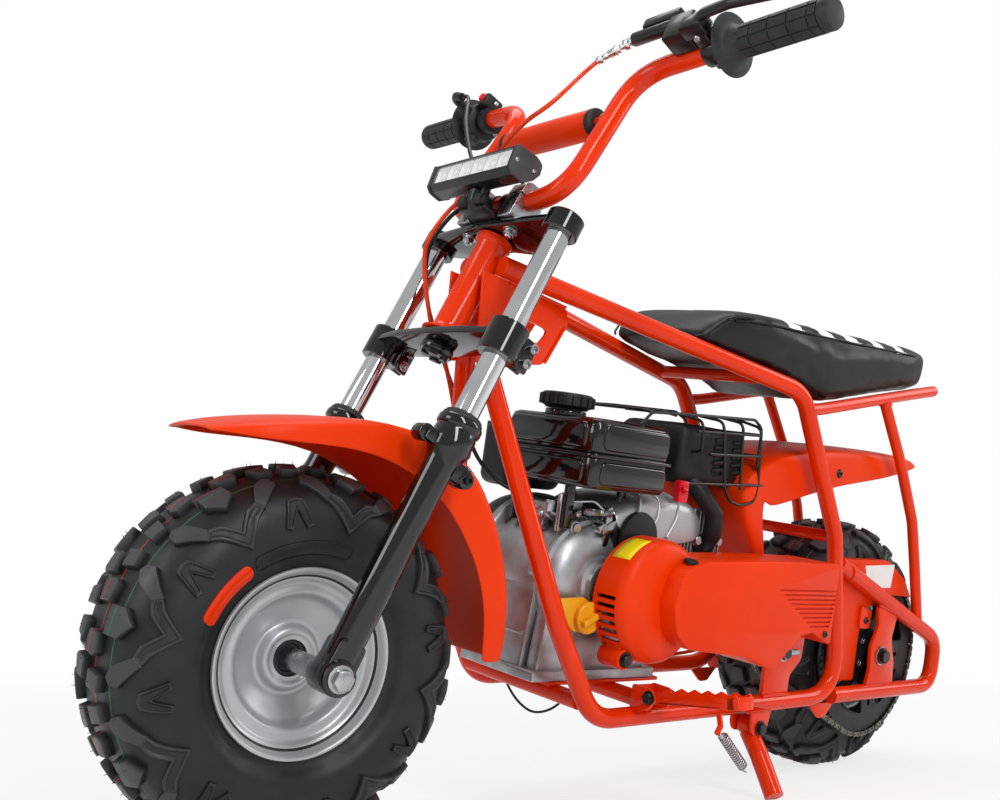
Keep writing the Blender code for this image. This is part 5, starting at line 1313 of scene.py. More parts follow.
# %% Crankcase
CRANK = (556, 262)
BOSS_RADIUS = 70
BOSS_ANGLES = (8, 62, 100, 150, 212, 262, 318)
AT_CRANK = Matrix.Translation(mm(CRANK[0], 0, CRANK[1]))
barrel = turned([(0, -66), (66, -66), (70, -62), (70, 12), (68, 22), (68, 30), (72, 31), (72, 36), (0, 36)], 72, "Y")
cover = turned(
    [(0, 37), (72, 37), (72, 42), (67, 43.5), (64, 50), (52, 58), (34, 61), (32, 66), (27, 68), (26, 73), (0, 73)],
    72, "Y"
)
place(barrel, AT_CRANK)
place(cover, AT_CRANK)
foot = slab(
    [(448, 156, 5), (636, 156, 5), (628, 250, 10), (600, 300, 20), (462, 300, 20), (446, 250, 10)], -62, 34, 5
)
foot_rim = slab([(440, 154.6, 2), (640, 154.6, 2), (640, 166, 3), (440, 166, 3)], -62, 62, 1.2)
side = slab([(452, 160, 6), (630, 160, 8), (622, 240, 12), (590, 290, 20), (470, 292, 16), (450, 246, 12)], 37, 55, 4)
neck = block((452, -50, 286), (560, 52, 318), 6)
bosses, rows = [], []
for degrees in BOSS_ANGLES:
    a = math.radians(degrees)
    x, z = CRANK[0] + BOSS_RADIUS * math.cos(a), CRANK[1] + BOSS_RADIUS * math.sin(a)
    bosses.append(rod((x, 24, z), (x, 45, z), 8.0, 1.0, 24))
    rows.append(((x, 45, z), (0, 1, 0), "flange", 6.5))
ribs = [
    block((CRANK[0] - 1.6, -58, CRANK[1] + 60), (CRANK[0] + 1.6, 30, CRANK[1] + 74), 1),
    block((612, -50, 200), (634, 30, 204), 1.2)
]
crankcase = merge(barrel, cover, foot, foot_rim, side, neck, *bosses, *ribs)
piece("cast_crankcase", crankcase, "aluminium", stands_for=["crankcase"], smooth=35)
fasteners("crankcase_screws", "bare_steel", rows)

# %% Cylinder, head and shroud
fins = [block((392 + i * 6.6, -54, 284 + i * 0.8), (394.6 + i * 6.6, 56, 360), 0.5, 1) for i in range(9)]
core = block((382, -40, 292), (462, 44, 352), 6)
head = merge(block((334, -46, 298), (388, 50, 354), 7), rod((360, 48, 316), (360, 56, 316), 17, 1.5, 32))
head_fins = [block((336 + i * 7, -52, 294), (338.6 + i * 7, 54, 358), 0.5, 1) for i in range(7)]
piece("finned_cylinder", merge(core, head, *fins, *head_fins), "aluminium", stands_for=["cylinder"], smooth=35)
SHROUD = (
    # x, top z, low z, half width
    (540, 352, 330, 60), (520, 362, 322, 64), (480, 370, 312, 66), (430, 373, 312, 66), (400, 368, 318, 64),
    (384, 352, 326, 58),
)
rows = []
for x, top, low, half in SHROUD:
    row = [
        (x, -half, low), (x, -half, top - 12), (x, -half + 9, top - 2), (x, 0, top + 2), (x, half - 9, top - 2),
        (x, half, top - 12), (x, half, low)
    ]
    rows.append(row)
piece("steel_shroud", skin(rows), "silver_paint", smooth=60, subsurf=2, wall=1.6)
ribs = []
for x in (505, 470, 436):
    ribs.append(
        tube([(x + 20, 67.2, 322), (x + 6, 67.4, 345), (x - 2, 60, 366), (x - 6, 30, 373)], 2.4, bend=20, sides=12)
    )
piece("shroud_ribs", merge(*ribs), "silver_paint", smooth=60)

# %% Starter housing
STARTER = Matrix.Translation(mm(530, 0, CRANK[1]))
VENTS = 12
recoil = turned(
    [(0, -143), (40, -143), (48, -141), (56, -134), (74, -128), (84, -118), (87, -104), (87, -72), (0, -72)], 72,
    "Y"
)
place(recoil, STARTER)
vents = []
for i in range(VENTS):
    turn = Matrix.Rotation(i * math.tau / VENTS, 4, "Y")
    vents.append(place(block((58, -150, -4), (76, -120, 4)), STARTER @ turn))
piece("starter_housing", cut(recoil, *vents), "black_plastic", stands_for=["recoil_cover"], smooth=35)
fan_ring = turned([(60, -71.5), (90, -71.5), (91, -70), (91, -60), (88, -58), (60, -58)], 72, "Y")
place(fan_ring, Matrix.Translation(mm(545, 0, CRANK[1])))
piece("fan_housing_ring", fan_ring, "aluminium", smooth=35)

# %% Fuel tank
CAP_GRIPS = 18


def tank_half(low, high, x0, x1, y0, y1, edge):
    return slab([(x0, y0, 16), (x1, y0, 20), (x1, y1, 14), (x0, y1, 16)], low, high, edge, "Z")


tank = merge(
    tank_half(371, 410, 494, 622, -60, 92, 6), tank_half(404, 449, 494, 622, -60, 92, 9),
    tank_half(405.6, 409.4, 489.5, 626.5, -65.5, 96.5, 1.0),
)
panels = [
    slab([(-50, 376, 8), (78, 376, 8), (78, 402, 8), (-50, 402, 8)], 618, 624.6, 3, "X"),
    slab([(-50, 414, 10), (78, 414, 8), (78, 444, 10), (-50, 444, 12)], 618, 624.6, 3, "X"),
    slab([(502, 376, 8), (610, 376, 8), (610, 402, 8), (502, 402, 8)], 88, 94.6, 3),
    slab([(502, 414, 8), (610, 414, 8), (610, 444, 10), (502, 444, 10)], 88, 94.6, 3),
]
neck = rod((586, 2, 446), (586, 2, 455), 24, 1.5, 48)
straps = [block((512, y, 326), (524, y + 6, 372), 1) for y in (-46, 40)] + [
    block((596, y, 322), (608, y + 6, 372), 1) for y in (-46, 40)
]
piece("pressed_tank", merge(tank, neck, *panels, *straps), "black_gloss", stands_for=["fuel_tank"], smooth=50)
cap = turned(
    [(0, 456), (24, 456), (26, 458), (30.5, 460), (30.5, 470), (29, 473.4), (26, 474.6), (10, 474.9), (0, 474.9)],
    60
)
grip_turns = [Matrix.Rotation(i * math.tau / CAP_GRIPS, 4, "Z") for i in range(CAP_GRIPS)]
grips = copies(block((29.4, -1.9, 459.6), (32.6, 1.9, 472), 0.7, 1), grip_turns)
piece("ribbed_fuel_cap", shift(merge(cap, grips), 586, 2, 0), "black_plastic", stands_for=["fuel_cap"], smooth=35)

# %% Silencer and its wire guard
silencer = block((308, -54, 388), (438, 58, 462), 15, 5)
slots, hoods = [], []
lean = Matrix.Rotation(0.12, 4, "Y")
for x in (366, 330):
    for i in range(5):
        slots.append(
            place(block((-11, -3, -2.2), (11, 3, 2.2)), Matrix.Translation(mm(x, 58.5, 405 + i * 9.5)) @ lean)
        )
        at = Matrix.Translation(mm(x, 57.0, 409.6 + i * 9.5)) @ lean
        hoods.append(place(rod((-11, 0, 0), (11, 0, 0), 3.0, 1.4, 14), at))
seam = slab([(313, 390, 14), (433, 390, 14), (433, 460, 14), (313, 460, 14)], -3, 0, 0.8)
silencer = merge(cut(silencer, *slots), *hoods, seam)
piece("pressed_silencer", silencer, "black_heat_paint", stands_for=["muffler"], smooth=40)
pipe = tube([(404, 42, 398), (392, 60, 378), (372, 68, 356), (367, 66, 328), (366, 50, 316)], 11.2, bend=18, sides=28)
flange = slab([(392, 326, 8), (344, 326, 8), (352, 304, 10), (380, 302, 10)], 50, 57, 1.0)
piece("exhaust_bend", merge(pipe, flange), "black_heat_paint", stands_for=["exhaust_pipe"], smooth=45)
rows = [((388, 57.2, 321), (0, 1, 0), "flange", 6.4), ((347, 57.2, 321), (0, 1, 0), "flange", 6.4)]
fasteners("exhaust_nuts", "bare_steel", rows)
WIRES = (
    ((538, 77, 450), (522, 78, 466), (455, 79, 471), (330, 79, 479), (312, 78, 470), (312, 78, 420)),
    ((538, -50, 452), (522, -50, 469), (455, -52, 474), (330, -52, 480), (306, -50, 470), (304, -50, 420)),
    ((437, 78, 453), (309, 79, 461), (300, 60, 462), (298, -50, 462)),
    ((410, 79, 428), (302, 79, 435), (296, 60, 435), (296, -50, 435)),
    ((452, 78, 389), (286, 79, 399), (280, 60, 400), (290, -50, 400)),
    ((391, 40, 474), (391, 79, 470), (373, 79, 390), (360, 79, 374), (340, 79, 370), (310, 79, 376), (306, 79, 400),
    (314, 79, 470), (314, 40, 478)),
    ((352, 40, 477), (352, 79, 472), (342, 79, 389)),
    ((430, -50, 472), (430, 40, 472), (430, 79, 466), (426, 79, 430), (424, 62, 428)),
    ((480, -50, 471), (480, 60, 470), (480, 78, 467)),
    ((520, -50, 469), (520, 60, 468), (520, 78, 466)),
)
wires = [tube(points, 1.9, bend=12, sides=10, steps=5) for points in WIRES]
piece("wire_guard", merge(*wires), "black_satin", smooth=60)
switch = merge(block((441, 70, 366), (458, 80, 392), 2.0), rod((452, 79, 380), (452, 84, 384), 4.5, 1.2, 20))
piece("engine_switch", switch, "switch_red")

# %% Carburettor side and small parts
filter_box = block((504, -128, 356), (598, -70, 434), 13, 4)
ribs = [block((516 + i * 14, -130, 366), (520 + i * 14, -68, 432), 1.2) for i in range(6)]
piece("filter_case", merge(filter_box, *ribs), "black_plastic", stands_for=["air_cleaner"], smooth=40)
carb = merge(
    rod((596, -20, 340), (596, 20, 340), 13, 1.5, 28), block((584, -14, 316), (610, 12, 338), 3),
    rod((612, -6, 330), (624, -6, 330), 7, 1, 20),
    rod((590, 22, 340), (590, 50, 340), 4, 0.6, 18), block((566, 26, 338), (622, 31, 352), 1),
    rod((560, 48, 326), (560, 62, 326), 6, 0.8, 20),
    tube([(600, 40, 352), (570, 52, 356), (548, 60, 340)], 1.6, bend=12, sides=8),
    block((606, 34, 318), (611, 40, 360), 1),
)
piece("carburettor", carb, "bare_steel", smooth=35)
arm = slab([(548, 306, 3), (556, 306, 3), (553, 350, 3), (546, 352, 3), (543, 330, 4)], 57, 59.5, 0.5)
link = slab([(536, 326, 4), (560, 318, 4), (560, 328, 4), (540, 338, 4)], 60, 62.4, 0.5)
spring = tube(
    [Vector((548 + 44 * i / 120, 61 + 3.4 * math.cos(i * 0.9), 344 + 3.4 * math.sin(i * 0.9))) for i in range(121)],
    0.7, bend=0, sides=6
)
piece("governor_arm", merge(arm, link, spring), "bare_steel", smooth=35)
belts = merge(rod((505, 62, 320), (505, 70, 320), 30, 1.5, 40), rod((505, 56, 320), (505, 60, 320), 34, 1.0, 40))
piece("governor_case", belts, "black_plastic")
DIP = Matrix.Translation(mm(585, 74, 229))
tag = slab([(-15, -14, 10), (14, -17, 8), (40, 2, 4), (42, 20, 4), (6, 22, 6), (-14, 12, 10)], -2, 2, 0.8)
cap = turned([(0, 2), (17, 2), (18, 3.4), (18, 8), (16.6, 9.6), (0, 9.8)], 40, "Y")
grip_bar = block((-15, 9, -3.6), (15, 16.5, 3.6), 1.8)
place(grip_bar, Matrix.Rotation(math.radians(25), 4, "Y"))
piece(
    "yellow_dipstick", place(merge(tag, cap, grip_bar, rod((0, -12, 0), (0, 2, 0), 10, 0.5, 24)), DIP),
    "yellow_plastic", stands_for=["oil_dipstick"], smooth=40
)

# %% [markdown]
# ## Drive cover
#
# An orange-red moulding hides the belt drive: a drum with cooling louvres over the crankshaft, and a long flat
# box that runs back from it to the jackshaft, with rows of shallow grooves at its rear end. A blank yellow
# label and a black plug sit on its top.

# %% Drive cover
DRUM = (512, 254)
COVER = [
    (206, 312, 8), (350, 311, 40), (478, 306, 30), (514, 293, 20), (524, 256, 22), (514, 224, 18), (490, 207, 14),
    (380, 196, 30), (336, 182, 2), (322, 180, 2), (304, 196, 10), (272, 221, 16), (248, 224, 10), (206, 207, 6),
]
drum = turned(
    [(0, 78), (66, 78), (70.5, 81), (70.5, 112), (68.8, 118.6), (64.5, 123.6), (58, 126.5), (0, 127)], 96, "Y"
)
place(drum, Matrix.Translation(mm(DRUM[0], 0, DRUM[1])))
slots = []
for i in range(8):
    slots.append(block((DRUM[0] + 26, 86, 190 + i * 9.2), (DRUM[0] + 86, 114, 194.4 + i * 9.2), 0))
hollow = rod((DRUM[0], 70, DRUM[1]), (DRUM[0], 119, DRUM[1]), 65, 0, 64)
drum = cut(drum, hollow, *slots)
box_shell = slab(COVER, 112, 150, 7.5, steps=8)
grooves = [block((214 - 1.2 * i, 147.2, 231 + i * 5.6), (258 + 9.0 * i, 152, 233.6 + i * 5.6), 0) for i in range(9)]
box_shell = cut(box_shell, *grooves)
rim = slab(COVER, 80, 114, 0.6, steps=8)
ear = merge(rod((556, 84, 190), (556, 116, 190), 11.5, 1.4, 28), block((536, 90, 184), (562, 112, 206), 2))
cover = merge(drum, box_shell, rim, ear)
piece("drive_moulding", cover, "red_plastic", stands_for=["drive_cover"], smooth=38)
inside = rod((DRUM[0], 84, DRUM[1]), (DRUM[0], 108, DRUM[1]), 52, 2, 48)
piece("clutch_drum", inside, "black_steel")
fasteners(
    "cover_screws", "black_satin",
    [((556, 116, 190), (0, 1, 0), "flange", 7.5), ((222, 150.4, 222), (0, 1, 0), "button", 4.5)]
)
rows = []
for degrees in range(40, 73, 4):
    a = math.radians(degrees)
    rows.append([(DRUM[0] + 70.9 * math.cos(a), y, DRUM[1] + 70.9 * math.sin(a)) for y in (86, 95, 104, 113)])
piece("drum_label", skin(rows), "label_yellow", smooth=60, wall=0.3)
plug = turned([(0, -2), (8.5, -2), (8.5, 1.4), (7, 2.2), (0, 2.4)], 32)
place(plug, Matrix.Translation(mm(488, 136, 304.0)) @ Matrix.Rotation(math.radians(-12), 4, "X"))
piece("cover_plug", plug, "black_plastic")

# %% [markdown]
# ## Jackshaft, sprockets and chain
#
# The belt turns a short jackshaft, and a roller chain runs from its small sprocket to the large one on the rear
# wheel. The chain is made from real links: a roller on every pin, inner and outer side plates shaped like a
# figure eight by turns. The large sprocket has a tooth for each roller and five windows with raised rims.

# %% Chain line
CHAIN_Y = 83.0
JACK = Vector((245, 190))
AXLE = Vector((0, 180))
BIG, SMALL = 117.4, 30.4
PIN_PITCH = 9.525


def chain_route():
    """Points a pin pitch apart along the chain's closed line, in x and z, mm."""
    span = (JACK - AXLE).length
    tilt = math.atan2(JACK.y - AXLE.y, JACK.x - AXLE.x)
    lean = math.acos((BIG - SMALL) / span)
    fine = [AXLE + Vector((math.cos(a), math.sin(a))) * BIG for a in
            [tilt + lean + (math.tau - 2 * lean) * i / 720 for i in range(721)]]
    fine += [JACK + Vector((math.cos(a), math.sin(a))) * SMALL for a in
             [tilt - lean + 2 * lean * i / 160 for i in range(161)]]
    fine.append(fine[0])
    lengths = [(b - a).length for a, b in zip(fine, fine[1:])]
    count = 2 * round(sum(lengths) / PIN_PITCH / 2)
    step, at, i, spots = sum(lengths) / count, 0.0, 0, []
    for k in range(count):
        while at + lengths[i] < k * step:
            at += lengths[i]
            i += 1
        spots.append(fine[i].lerp(fine[i + 1], (k * step - at) / lengths[i]))
    return spots


pins = chain_route()
LINK_PLATE = [
    (-3.9, -2.2, 2), (-3.9, 2.2, 2), (0, 3.8, 2), (2.6, 3.0, 2), (6.9, 3.0, 2), (9.5, 3.8, 2), (13.4, 2.2, 2),
    (13.4, -2.2, 2), (9.5, -3.8, 2), (6.9, -3.0, 2), (2.6, -3.0, 2), (0, -3.8, 2),
]
parts = []
plate_inner = merge(slab(LINK_PLATE, 2.2, 3.2, 0, steps=2), slab(LINK_PLATE, -3.2, -2.2, 0, steps=2))
plate_outer = merge(slab(LINK_PLATE, 3.5, 4.4, 0, steps=2), slab(LINK_PLATE, -4.4, -3.5, 0, steps=2))
roller = merge(rod((0, -2.2, 0), (0, 2.2, 0), 2.5, 0, 12), rod((0, -5.2, 0), (0, 5.2, 0), 1.6, 0, 8))
for k, spot in enumerate(pins):
    after = pins[(k + 1) % len(pins)]
    turn = Matrix.Rotation(-math.atan2(after.y - spot.y, after.x - spot.x), 4, "Y")
    at = Matrix.Translation(mm(spot.x, CHAIN_Y, spot.y)) @ turn
    parts.append(place((plate_outer if k % 2 else plate_inner).copy(), at))
    parts.append(place(roller.copy(), at))
piece("roller_chain", merge(*parts), "chain_steel", stands_for=["chain"], smooth=40)
print("chain links:", len(pins))

# %% Sprockets
def sprocket(radius, teeth, low, high, bore):
    """A toothed plate, cut between its teeth by rollers, around y."""
    blank = turned(
        [(bore, low), (radius + 2.4, low + 0.6), (radius + 2.4, high - 0.6), (bore, high)], max(48, teeth * 2), "Y"
    )
    gaps = []
    for i in range(teeth):
        a = math.tau * i / teeth
        x, z = radius * math.cos(a), radius * math.sin(a)
        gaps.append(rod((x, low - 1, z), (x, high + 1, z), 2.7, 0, 10))
    return cut(blank, *gaps)


def arc(radius, middle, degrees):
    """Rounded corners along an arc, for the outline of a window."""
    turns = [math.radians(middle + a) for a in degrees]
    return [(radius * math.cos(a), radius * math.sin(a), 4) for a in turns]


SPOKES = 5
PLATE = (CHAIN_Y - 1.9, CHAIN_Y + 1.9)
big = sprocket(BIG, 72, *PLATE, 8.7)
windows, rims_made = [], []
for i in range(SPOKES):
    middle = 360 / SPOKES * i + 3.3
    corners = arc(88, middle, range(-22, 23, 11)) + arc(48, middle, (13, 0, -13))
    windows.append(slab(corners, CHAIN_Y - 9, CHAIN_Y + 9, steps=3))
    path = [Vector((p.x, CHAIN_Y + 2.4, p.y)) for p in outline(corners, 3)]
    rims_made.append(tube(path + path[:1], 1.1, bend=0, sides=8))
    slot_at = math.radians(middle + 36)
    windows.append(place(block((62, CHAIN_Y - 9, -3), (80, CHAIN_Y + 9, 3), 2.4), Matrix.Rotation(-slot_at, 4, "Y")))
hub = turned(
    [(8.7, 32.3), (22, 32.3), (30, 76), (34, CHAIN_Y - 1.9), (34, CHAIN_Y + 3.2), (26, CHAIN_Y + 4.2),
    (20, CHAIN_Y + 8), (8.7, CHAIN_Y + 8)], 56, "Y"
)
piece(
    "chain_wheel", merge(cut(big, *windows), hub, *rims_made), "black_steel", "rear_wheel", REAR, ["rear_sprocket"],
    smooth=35
)
rows = []
for i in range(SPOKES):
    a = math.radians(360 / SPOKES * i + 39.3)
    rows.append(((27 * math.cos(a), CHAIN_Y + 3.6, 27 * math.sin(a)), (0, 1, 0), "flange", 5.0))
fasteners("chain_wheel_screws", "bare_steel", rows, "rear_wheel", REAR)
disc = turned([(8.7, -85), (75, -85), (75, -81), (8.7, -81)], 72, "Y")
holes = []
for i in range(24):
    a = math.tau * i / 24
    r = 62 + 5 * (i % 2)
    holes.append(rod((r * math.cos(a), -90, r * math.sin(a)), (r * math.cos(a), -76, r * math.sin(a)), 2.6, 0, 12))
carrier = turned([(8.7, -80.6), (28, -80.6), (22, -32.3), (8.7, -32.3)], 48, "Y")
piece(
    "drilled_brake_disc", merge(cut(disc, *holes), carrier), "bare_steel", "rear_wheel", REAR, ["brake_disc"],
    smooth=35
)

# %% Jackshaft and its ears
small = shift(sprocket(SMALL, 20, *PLATE, 7.0), JACK.x, 0, JACK.y)
shaft = merge(rod((JACK.x, -100, JACK.y), (JACK.x, 116, JACK.y), 8.0, 0.8, 36), small)
piece("jackshaft_and_sprocket", shaft, "bare_steel", stands_for=["jackshaft"], smooth=35)
ring = shift(turned([(34, 90), (38, 90), (39, 91), (39, 97), (38, 98), (34, 98)], 56, "Y"), JACK.x, 0, JACK.y)
piece("sprocket_guard_ring", ring, "black_plastic")
EAR = [(34, -58, 0), (36, 14, 18), (-36, 26, 12), (-44, 18, 8), (-42, -10, 12), (-20, -30, 16), (-20, -58, 0)]
for side, word in ((1, "left"), (-1, "right")):
    low, high = sorted((side * (RAIL_Y + 1), side * (RAIL_Y + 7)))
    ear = slab([(JACK.x + x, JACK.y + z, r) for x, z, r in EAR], low, high, 0.8)
    ear = cut(
        ear, slab([(JACK.x - 32, JACK.y - 3.4, 3), (JACK.x - 32, JACK.y + 3.4, 3), (JACK.x - 12, JACK.y + 3.4, 3),
        (JACK.x - 12, JACK.y - 3.4, 3)], low - 3, high + 3)
    )
    ear = merge(ear, bead([(JACK.x - 22, side * 109, 136.6), (JACK.x + 35, side * 109, 135.8)]))
    piece(f"jackshaft_plate_{word}", ear, "frame_red", stands_for=[f"jackshaft_ear_{word}"], smooth=35)
rows = both([((JACK.x, 110.6, JACK.y), (0, 1, 0), "flange", 8.0)])
fasteners("jackshaft_screws", "black_satin", rows)
washers = [rod((JACK.x, side * 108.6, JACK.y), (JACK.x, side * 110.6, JACK.y), 11.5, 0.4, 36) for side in (1, -1)]
washers += [
    slab([(JACK.x - 34, JACK.y - 3, 3), (JACK.x - 10, JACK.y - 3, 1), (JACK.x - 10, JACK.y + 3, 1),
    (JACK.x - 34, JACK.y + 3, 3)], 108.6, 110.8, 0.5)
]
piece("jackshaft_washers", merge(*washers), "bare_steel")

# %% Chain guard, axle and rear brackets
GUARD = [
    (118, 312, 6), (-16, 314, 34), (-66, 288, 16), (-90, 262, 4), (-34, 264, 8), (-8, 248, 10), (27, 248, 10),
    (41, 210, 12), (41, 143, 4), (100, 143, 4), (113, 205, 10), (121, 290, 6),
]
lip = slab(GUARD[:4] + [(-86, 262, 0), (-63, 286, 14), (-16, 311, 32), (118, 309, 4)], 70, 90, 0.6)
piece(
    "chain_guard_plate", merge(slab(GUARD, 87.6, 90.4, 0.8), lip), "red_plastic", stands_for=["chain_guard"],
    smooth=38
)
piece("guard_label", slab([(47, 305, 1), (-32, 309, 1), (-28, 275, 1), (34, 274, 1)], 90.5, 90.9), "label_white")
tab = slab([(48, 249, 3), (19, 240, 3), (22, 216, 6), (48, 217, 6)], 90.5, 94.5, 0.6)
piece("guard_tab", tab, "frame_red")
parts = [rod((0, -112, 180), (0, 112, 180), 7.4, 0.8)]
for side in (1, -1):
    parts += [
        rod((0, side * 105, 180), (0, side * 107, 180), 13.6, 0.4, 40),
        rod((0, side * 93.2, 180), (0, side * 98, 180), 11.5, 0.5, 36)
    ]
piece("rear_axle_set", merge(*parts), "bare_steel", stands_for=["rear_axle"])
rows = both([((0, 107, 180), (0, 1, 0), "flange", 10.5)]) + [((34, 94.8, 228), (0, 1, 0), "button", 5.0)]
fasteners("rear_axle_nuts", "black_satin", rows)
gussets = []
for side in (1, -1):
    low, high = sorted((side * (RAIL_Y - 2), side * (RAIL_Y + 2)))
    gussets.append(slab([(163, 118, 0), (104, 118, 0), (122, 99, 8), (138, 98, 8)], low, high, 0.6))
piece("rail_gussets", merge(*gussets), "frame_red")
caliper = merge(
    block((58, -98, 178), (92, -74, 222), 5), block((64, -102, 186), (86, -70, 214), 4),
    rod((75, -110, 200), (75, -98, 200), 9, 1.2, 28)
)
piece("brake_caliper", caliper, "black_satin", smooth=40)

# %% [markdown]
# ## Engine bed, footrests and stand
#
# The engine bolts to a flat plate on two cross tubes. The footrests are folded steel channels with saw-tooth
# edges, hinged in a clevis. The side stand turns on a bolt through a folded bracket under the left rail, and a
# zinc-plated spring holds it down.

# %% Engine bed
bed = slab([(430, -62, 3), (615, -62, 3), (615, 62, 3), (430, 62, 3)], 150.2, 154.2, 0.8, "Z")
piece("engine_bed", bed, "frame_red", stands_for=["engine_plate"], smooth=35)
member = rod((595, -93, 140.4), (595, 93, 140.4), 9.5, 0, 32)
piece("front_cross_member", member, "frame_red", stands_for=["engine_cross_tube"])
rows = both([((600, 52, 154.4), (0, 0, 1), "flange", 8), ((446, 52, 154.4), (0, 0, 1), "flange", 8)])
fasteners("engine_bolts", "bare_steel", rows)

# %% Footrests
PEG_X = 505.0
bar = [rod((PEG_X, -115, 140.4), (PEG_X, 115, 140.4), 9.5, 0, 32)]
for side in (1, -1):
    for face in (14.5, -17.5):
        low, high = PEG_X + face, PEG_X + face + 3
        plate = [
            (side * 103, 131, 2), (side * 103, 160, 4), (side * 130, 160, 10), (side * 141, 150, 10),
            (side * 130, 138, 8), (side * 116, 131, 2)
        ]
        bar.append(slab(plate, low, high, 0.5, "X"))
    inner, outer = sorted((side * 103, side * 107))
    bar.append(block((PEG_X - 17, inner, 138), (PEG_X + 17, outer, 158.6), 0.8))
    bar.append(rod((PEG_X - 21, side * 130, 150), (PEG_X + 21, side * 130, 150), 4.0, 0.5, 20))
piece("footrest_carrier", merge(*bar), "frame_red", stands_for=["footrest_bar"], smooth=35)
rows = [
    ((PEG_X + way * 18, side * 130, 150), (way, 0, 0), "nut" if way < 0 else "flange", 7.0) for way in (1, -1)
    for side in (1, -1)
]
fasteners("footrest_bolts", "black_satin", rows)
TEETH = 11


def footrest():
    """A channel along +y: two toothed walls, a rounded end and a floor, hinged at its origin."""
    top = []
    for i in range(TEETH + 1):
        y = 12 + 102 * i / TEETH
        top += [(y, 10.0 if i % 2 else 6.0, 0.6)]
    wall = [(-6.4, -6.4, 3), (-6.4, 6.2, 4)] + top + [(118, 6, 2), (118, -6.4, 3)]
    parts = [slab(wall, low, low + 2.6, 0.3, "X") for low in (-14, 11.4)]
    parts.append(slab([(-14, 10, 1), (-14, 108, 13), (14, 108, 13), (14, 10, 1)], -6.4, -3.8, 0.4, "Z"))
    end = slab(
        [(-14, 104, 0), (-14, 119.6, 12), (14, 119.6, 12), (14, 104, 0), (11.4, 104, 0), (11.4, 117, 10),
        (-11.4, 117, 10), (-11.4, 104, 0)], -6.4, 7.0, 0.4, "Z"
    )
    return merge(*parts, end)


for side, word in ((1, "left"), (-1, "right")):
    peg = place(footrest(), Matrix.Rotation(math.radians(11), 4, "X"))
    if side < 0:
        bmesh.ops.scale(peg, vec=(1, -1, 1), verts=peg.verts)
    shift(peg, PEG_X, side * 130, 150)
    piece(f"toothed_footrest_{word}", peg, "frame_red", f"footpeg_{word}", stands_for=[f"footpeg_{word}"], smooth=35)

# %% [markdown]
# ## Side stand
#
# The leg is a bent bar with a turned hub on the bolt of its bracket. The spring is drawn as one thin tube:
# straight at both ends, with a helix between them.

# %% Side stand and its bracket
STAND_PIVOT = Vector((320, 122, 106))
STAND_WAY = Vector((0.014, 0.062, -0.072)).normalized()
foot = STAND_PIVOT + STAND_WAY * 92
leg = tube(
    [tuple(STAND_PIVOT + Vector((0, 2, -8))), tuple(STAND_PIVOT + STAND_WAY * 40), tuple(foot)], 11.5, bend=60,
    sides=32
)
hub = rod((320, 113.5, 106), (320, 130.5, 106), 12, 1, 36)
piece("stand_leg", merge(leg, hub), "frame_red", "side_stand", stands_for=["side_stand"], smooth=45)
sheet = []
for low in (106.4, 136.0):
    sheet.append(slab([(300, 128, 3), (340, 128, 3), (336, 96, 14), (306, 96, 14)], low, low + 3, 0.5))
sheet.append(block((300, 104, 124), (340, 139, 128), 0.8))
hook = tube([(372, 116, 118), (378, 124, 108), (386, 126, 100)], 3.6, bend=5, sides=16)
piece("stand_clevis", merge(*sheet, hook), "frame_red", stands_for=["stand_bracket"], smooth=38)
fasteners(
    "stand_bolt", "black_satin",
    [((320, 139.2, 106), (0, 1, 0), "flange", 8), ((320, 106.2, 106), (0, -1, 0), "nut", 8)]
)
start, end = Vector((380, 124, 103)), Vector((322, 130, 50))
way = (end - start).normalized()
across = way.orthogonal().normalized()
other = way.cross(across)
COILS, COIL_RADIUS, COIL_STEPS = 15, 5.4, 16
path = [start]
for i in range(COILS * COIL_STEPS + 1):
    share = i / (COILS * COIL_STEPS)
    turn = share * COILS * math.tau
    path.append(
        start.lerp(end, 0.14 + 0.72 * share) + (across * math.cos(turn) + other * math.sin(turn)) * COIL_RADIUS
    )
path.append(end)
piece("stand_spring", tube(path, 1.2, bend=0, sides=10), "bare_steel", smooth=60)

# %% [markdown]
# ## Crossbar pad
#
# A sleeve of closed-cell foam on the crossbar, in an orange-red coated cloth cover with a black end on each
# side. It is soft, so its rims are rounded and it swells a little in the middle.

# %% Crossbar pad
low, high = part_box("crossbar_pad")
AT_PAD = Matrix.Translation((Vector(low) + Vector(high)) / 2) @ FORK.to_3x3().to_4x4()
sleeve = [(0, -74), (15.4, -74), (16.0, -72.6), (16.4, -30), (16.5, 0), (16.4, 30), (16.0, 72.6), (15.4, 74), (0, 74)]
piece("foam_bar_pad", turned(sleeve, 64, "Y"), "red_plastic", "steering", AT_PAD, ["crossbar_pad"], smooth=50)
ring = [(0, 74.1), (15.8, 74.1), (16.4, 75), (16.2, 78.6), (14.8, 80.2), (7.0, 80.6), (0, 80.6)]
ends = merge(turned(ring, 64, "Y"), turned([(r, -y) for r, y in ring], 64, "Y"))
piece("pad_ends", ends, "black_plastic", "steering", AT_PAD, smooth=50)

# %% [markdown]
# ## Seat
#
# The seat is a board of foam under black vinyl. Its flat front panel leans back between two rounded corners. Two
# seams run up each of them and a single one runs back along the top edge. The sides pull in to the board. The
# cushion is lofted a little too small, then cloth simulation blows it up against its own cover, with a cap on
# how far each point may move. White bars are printed across the top.

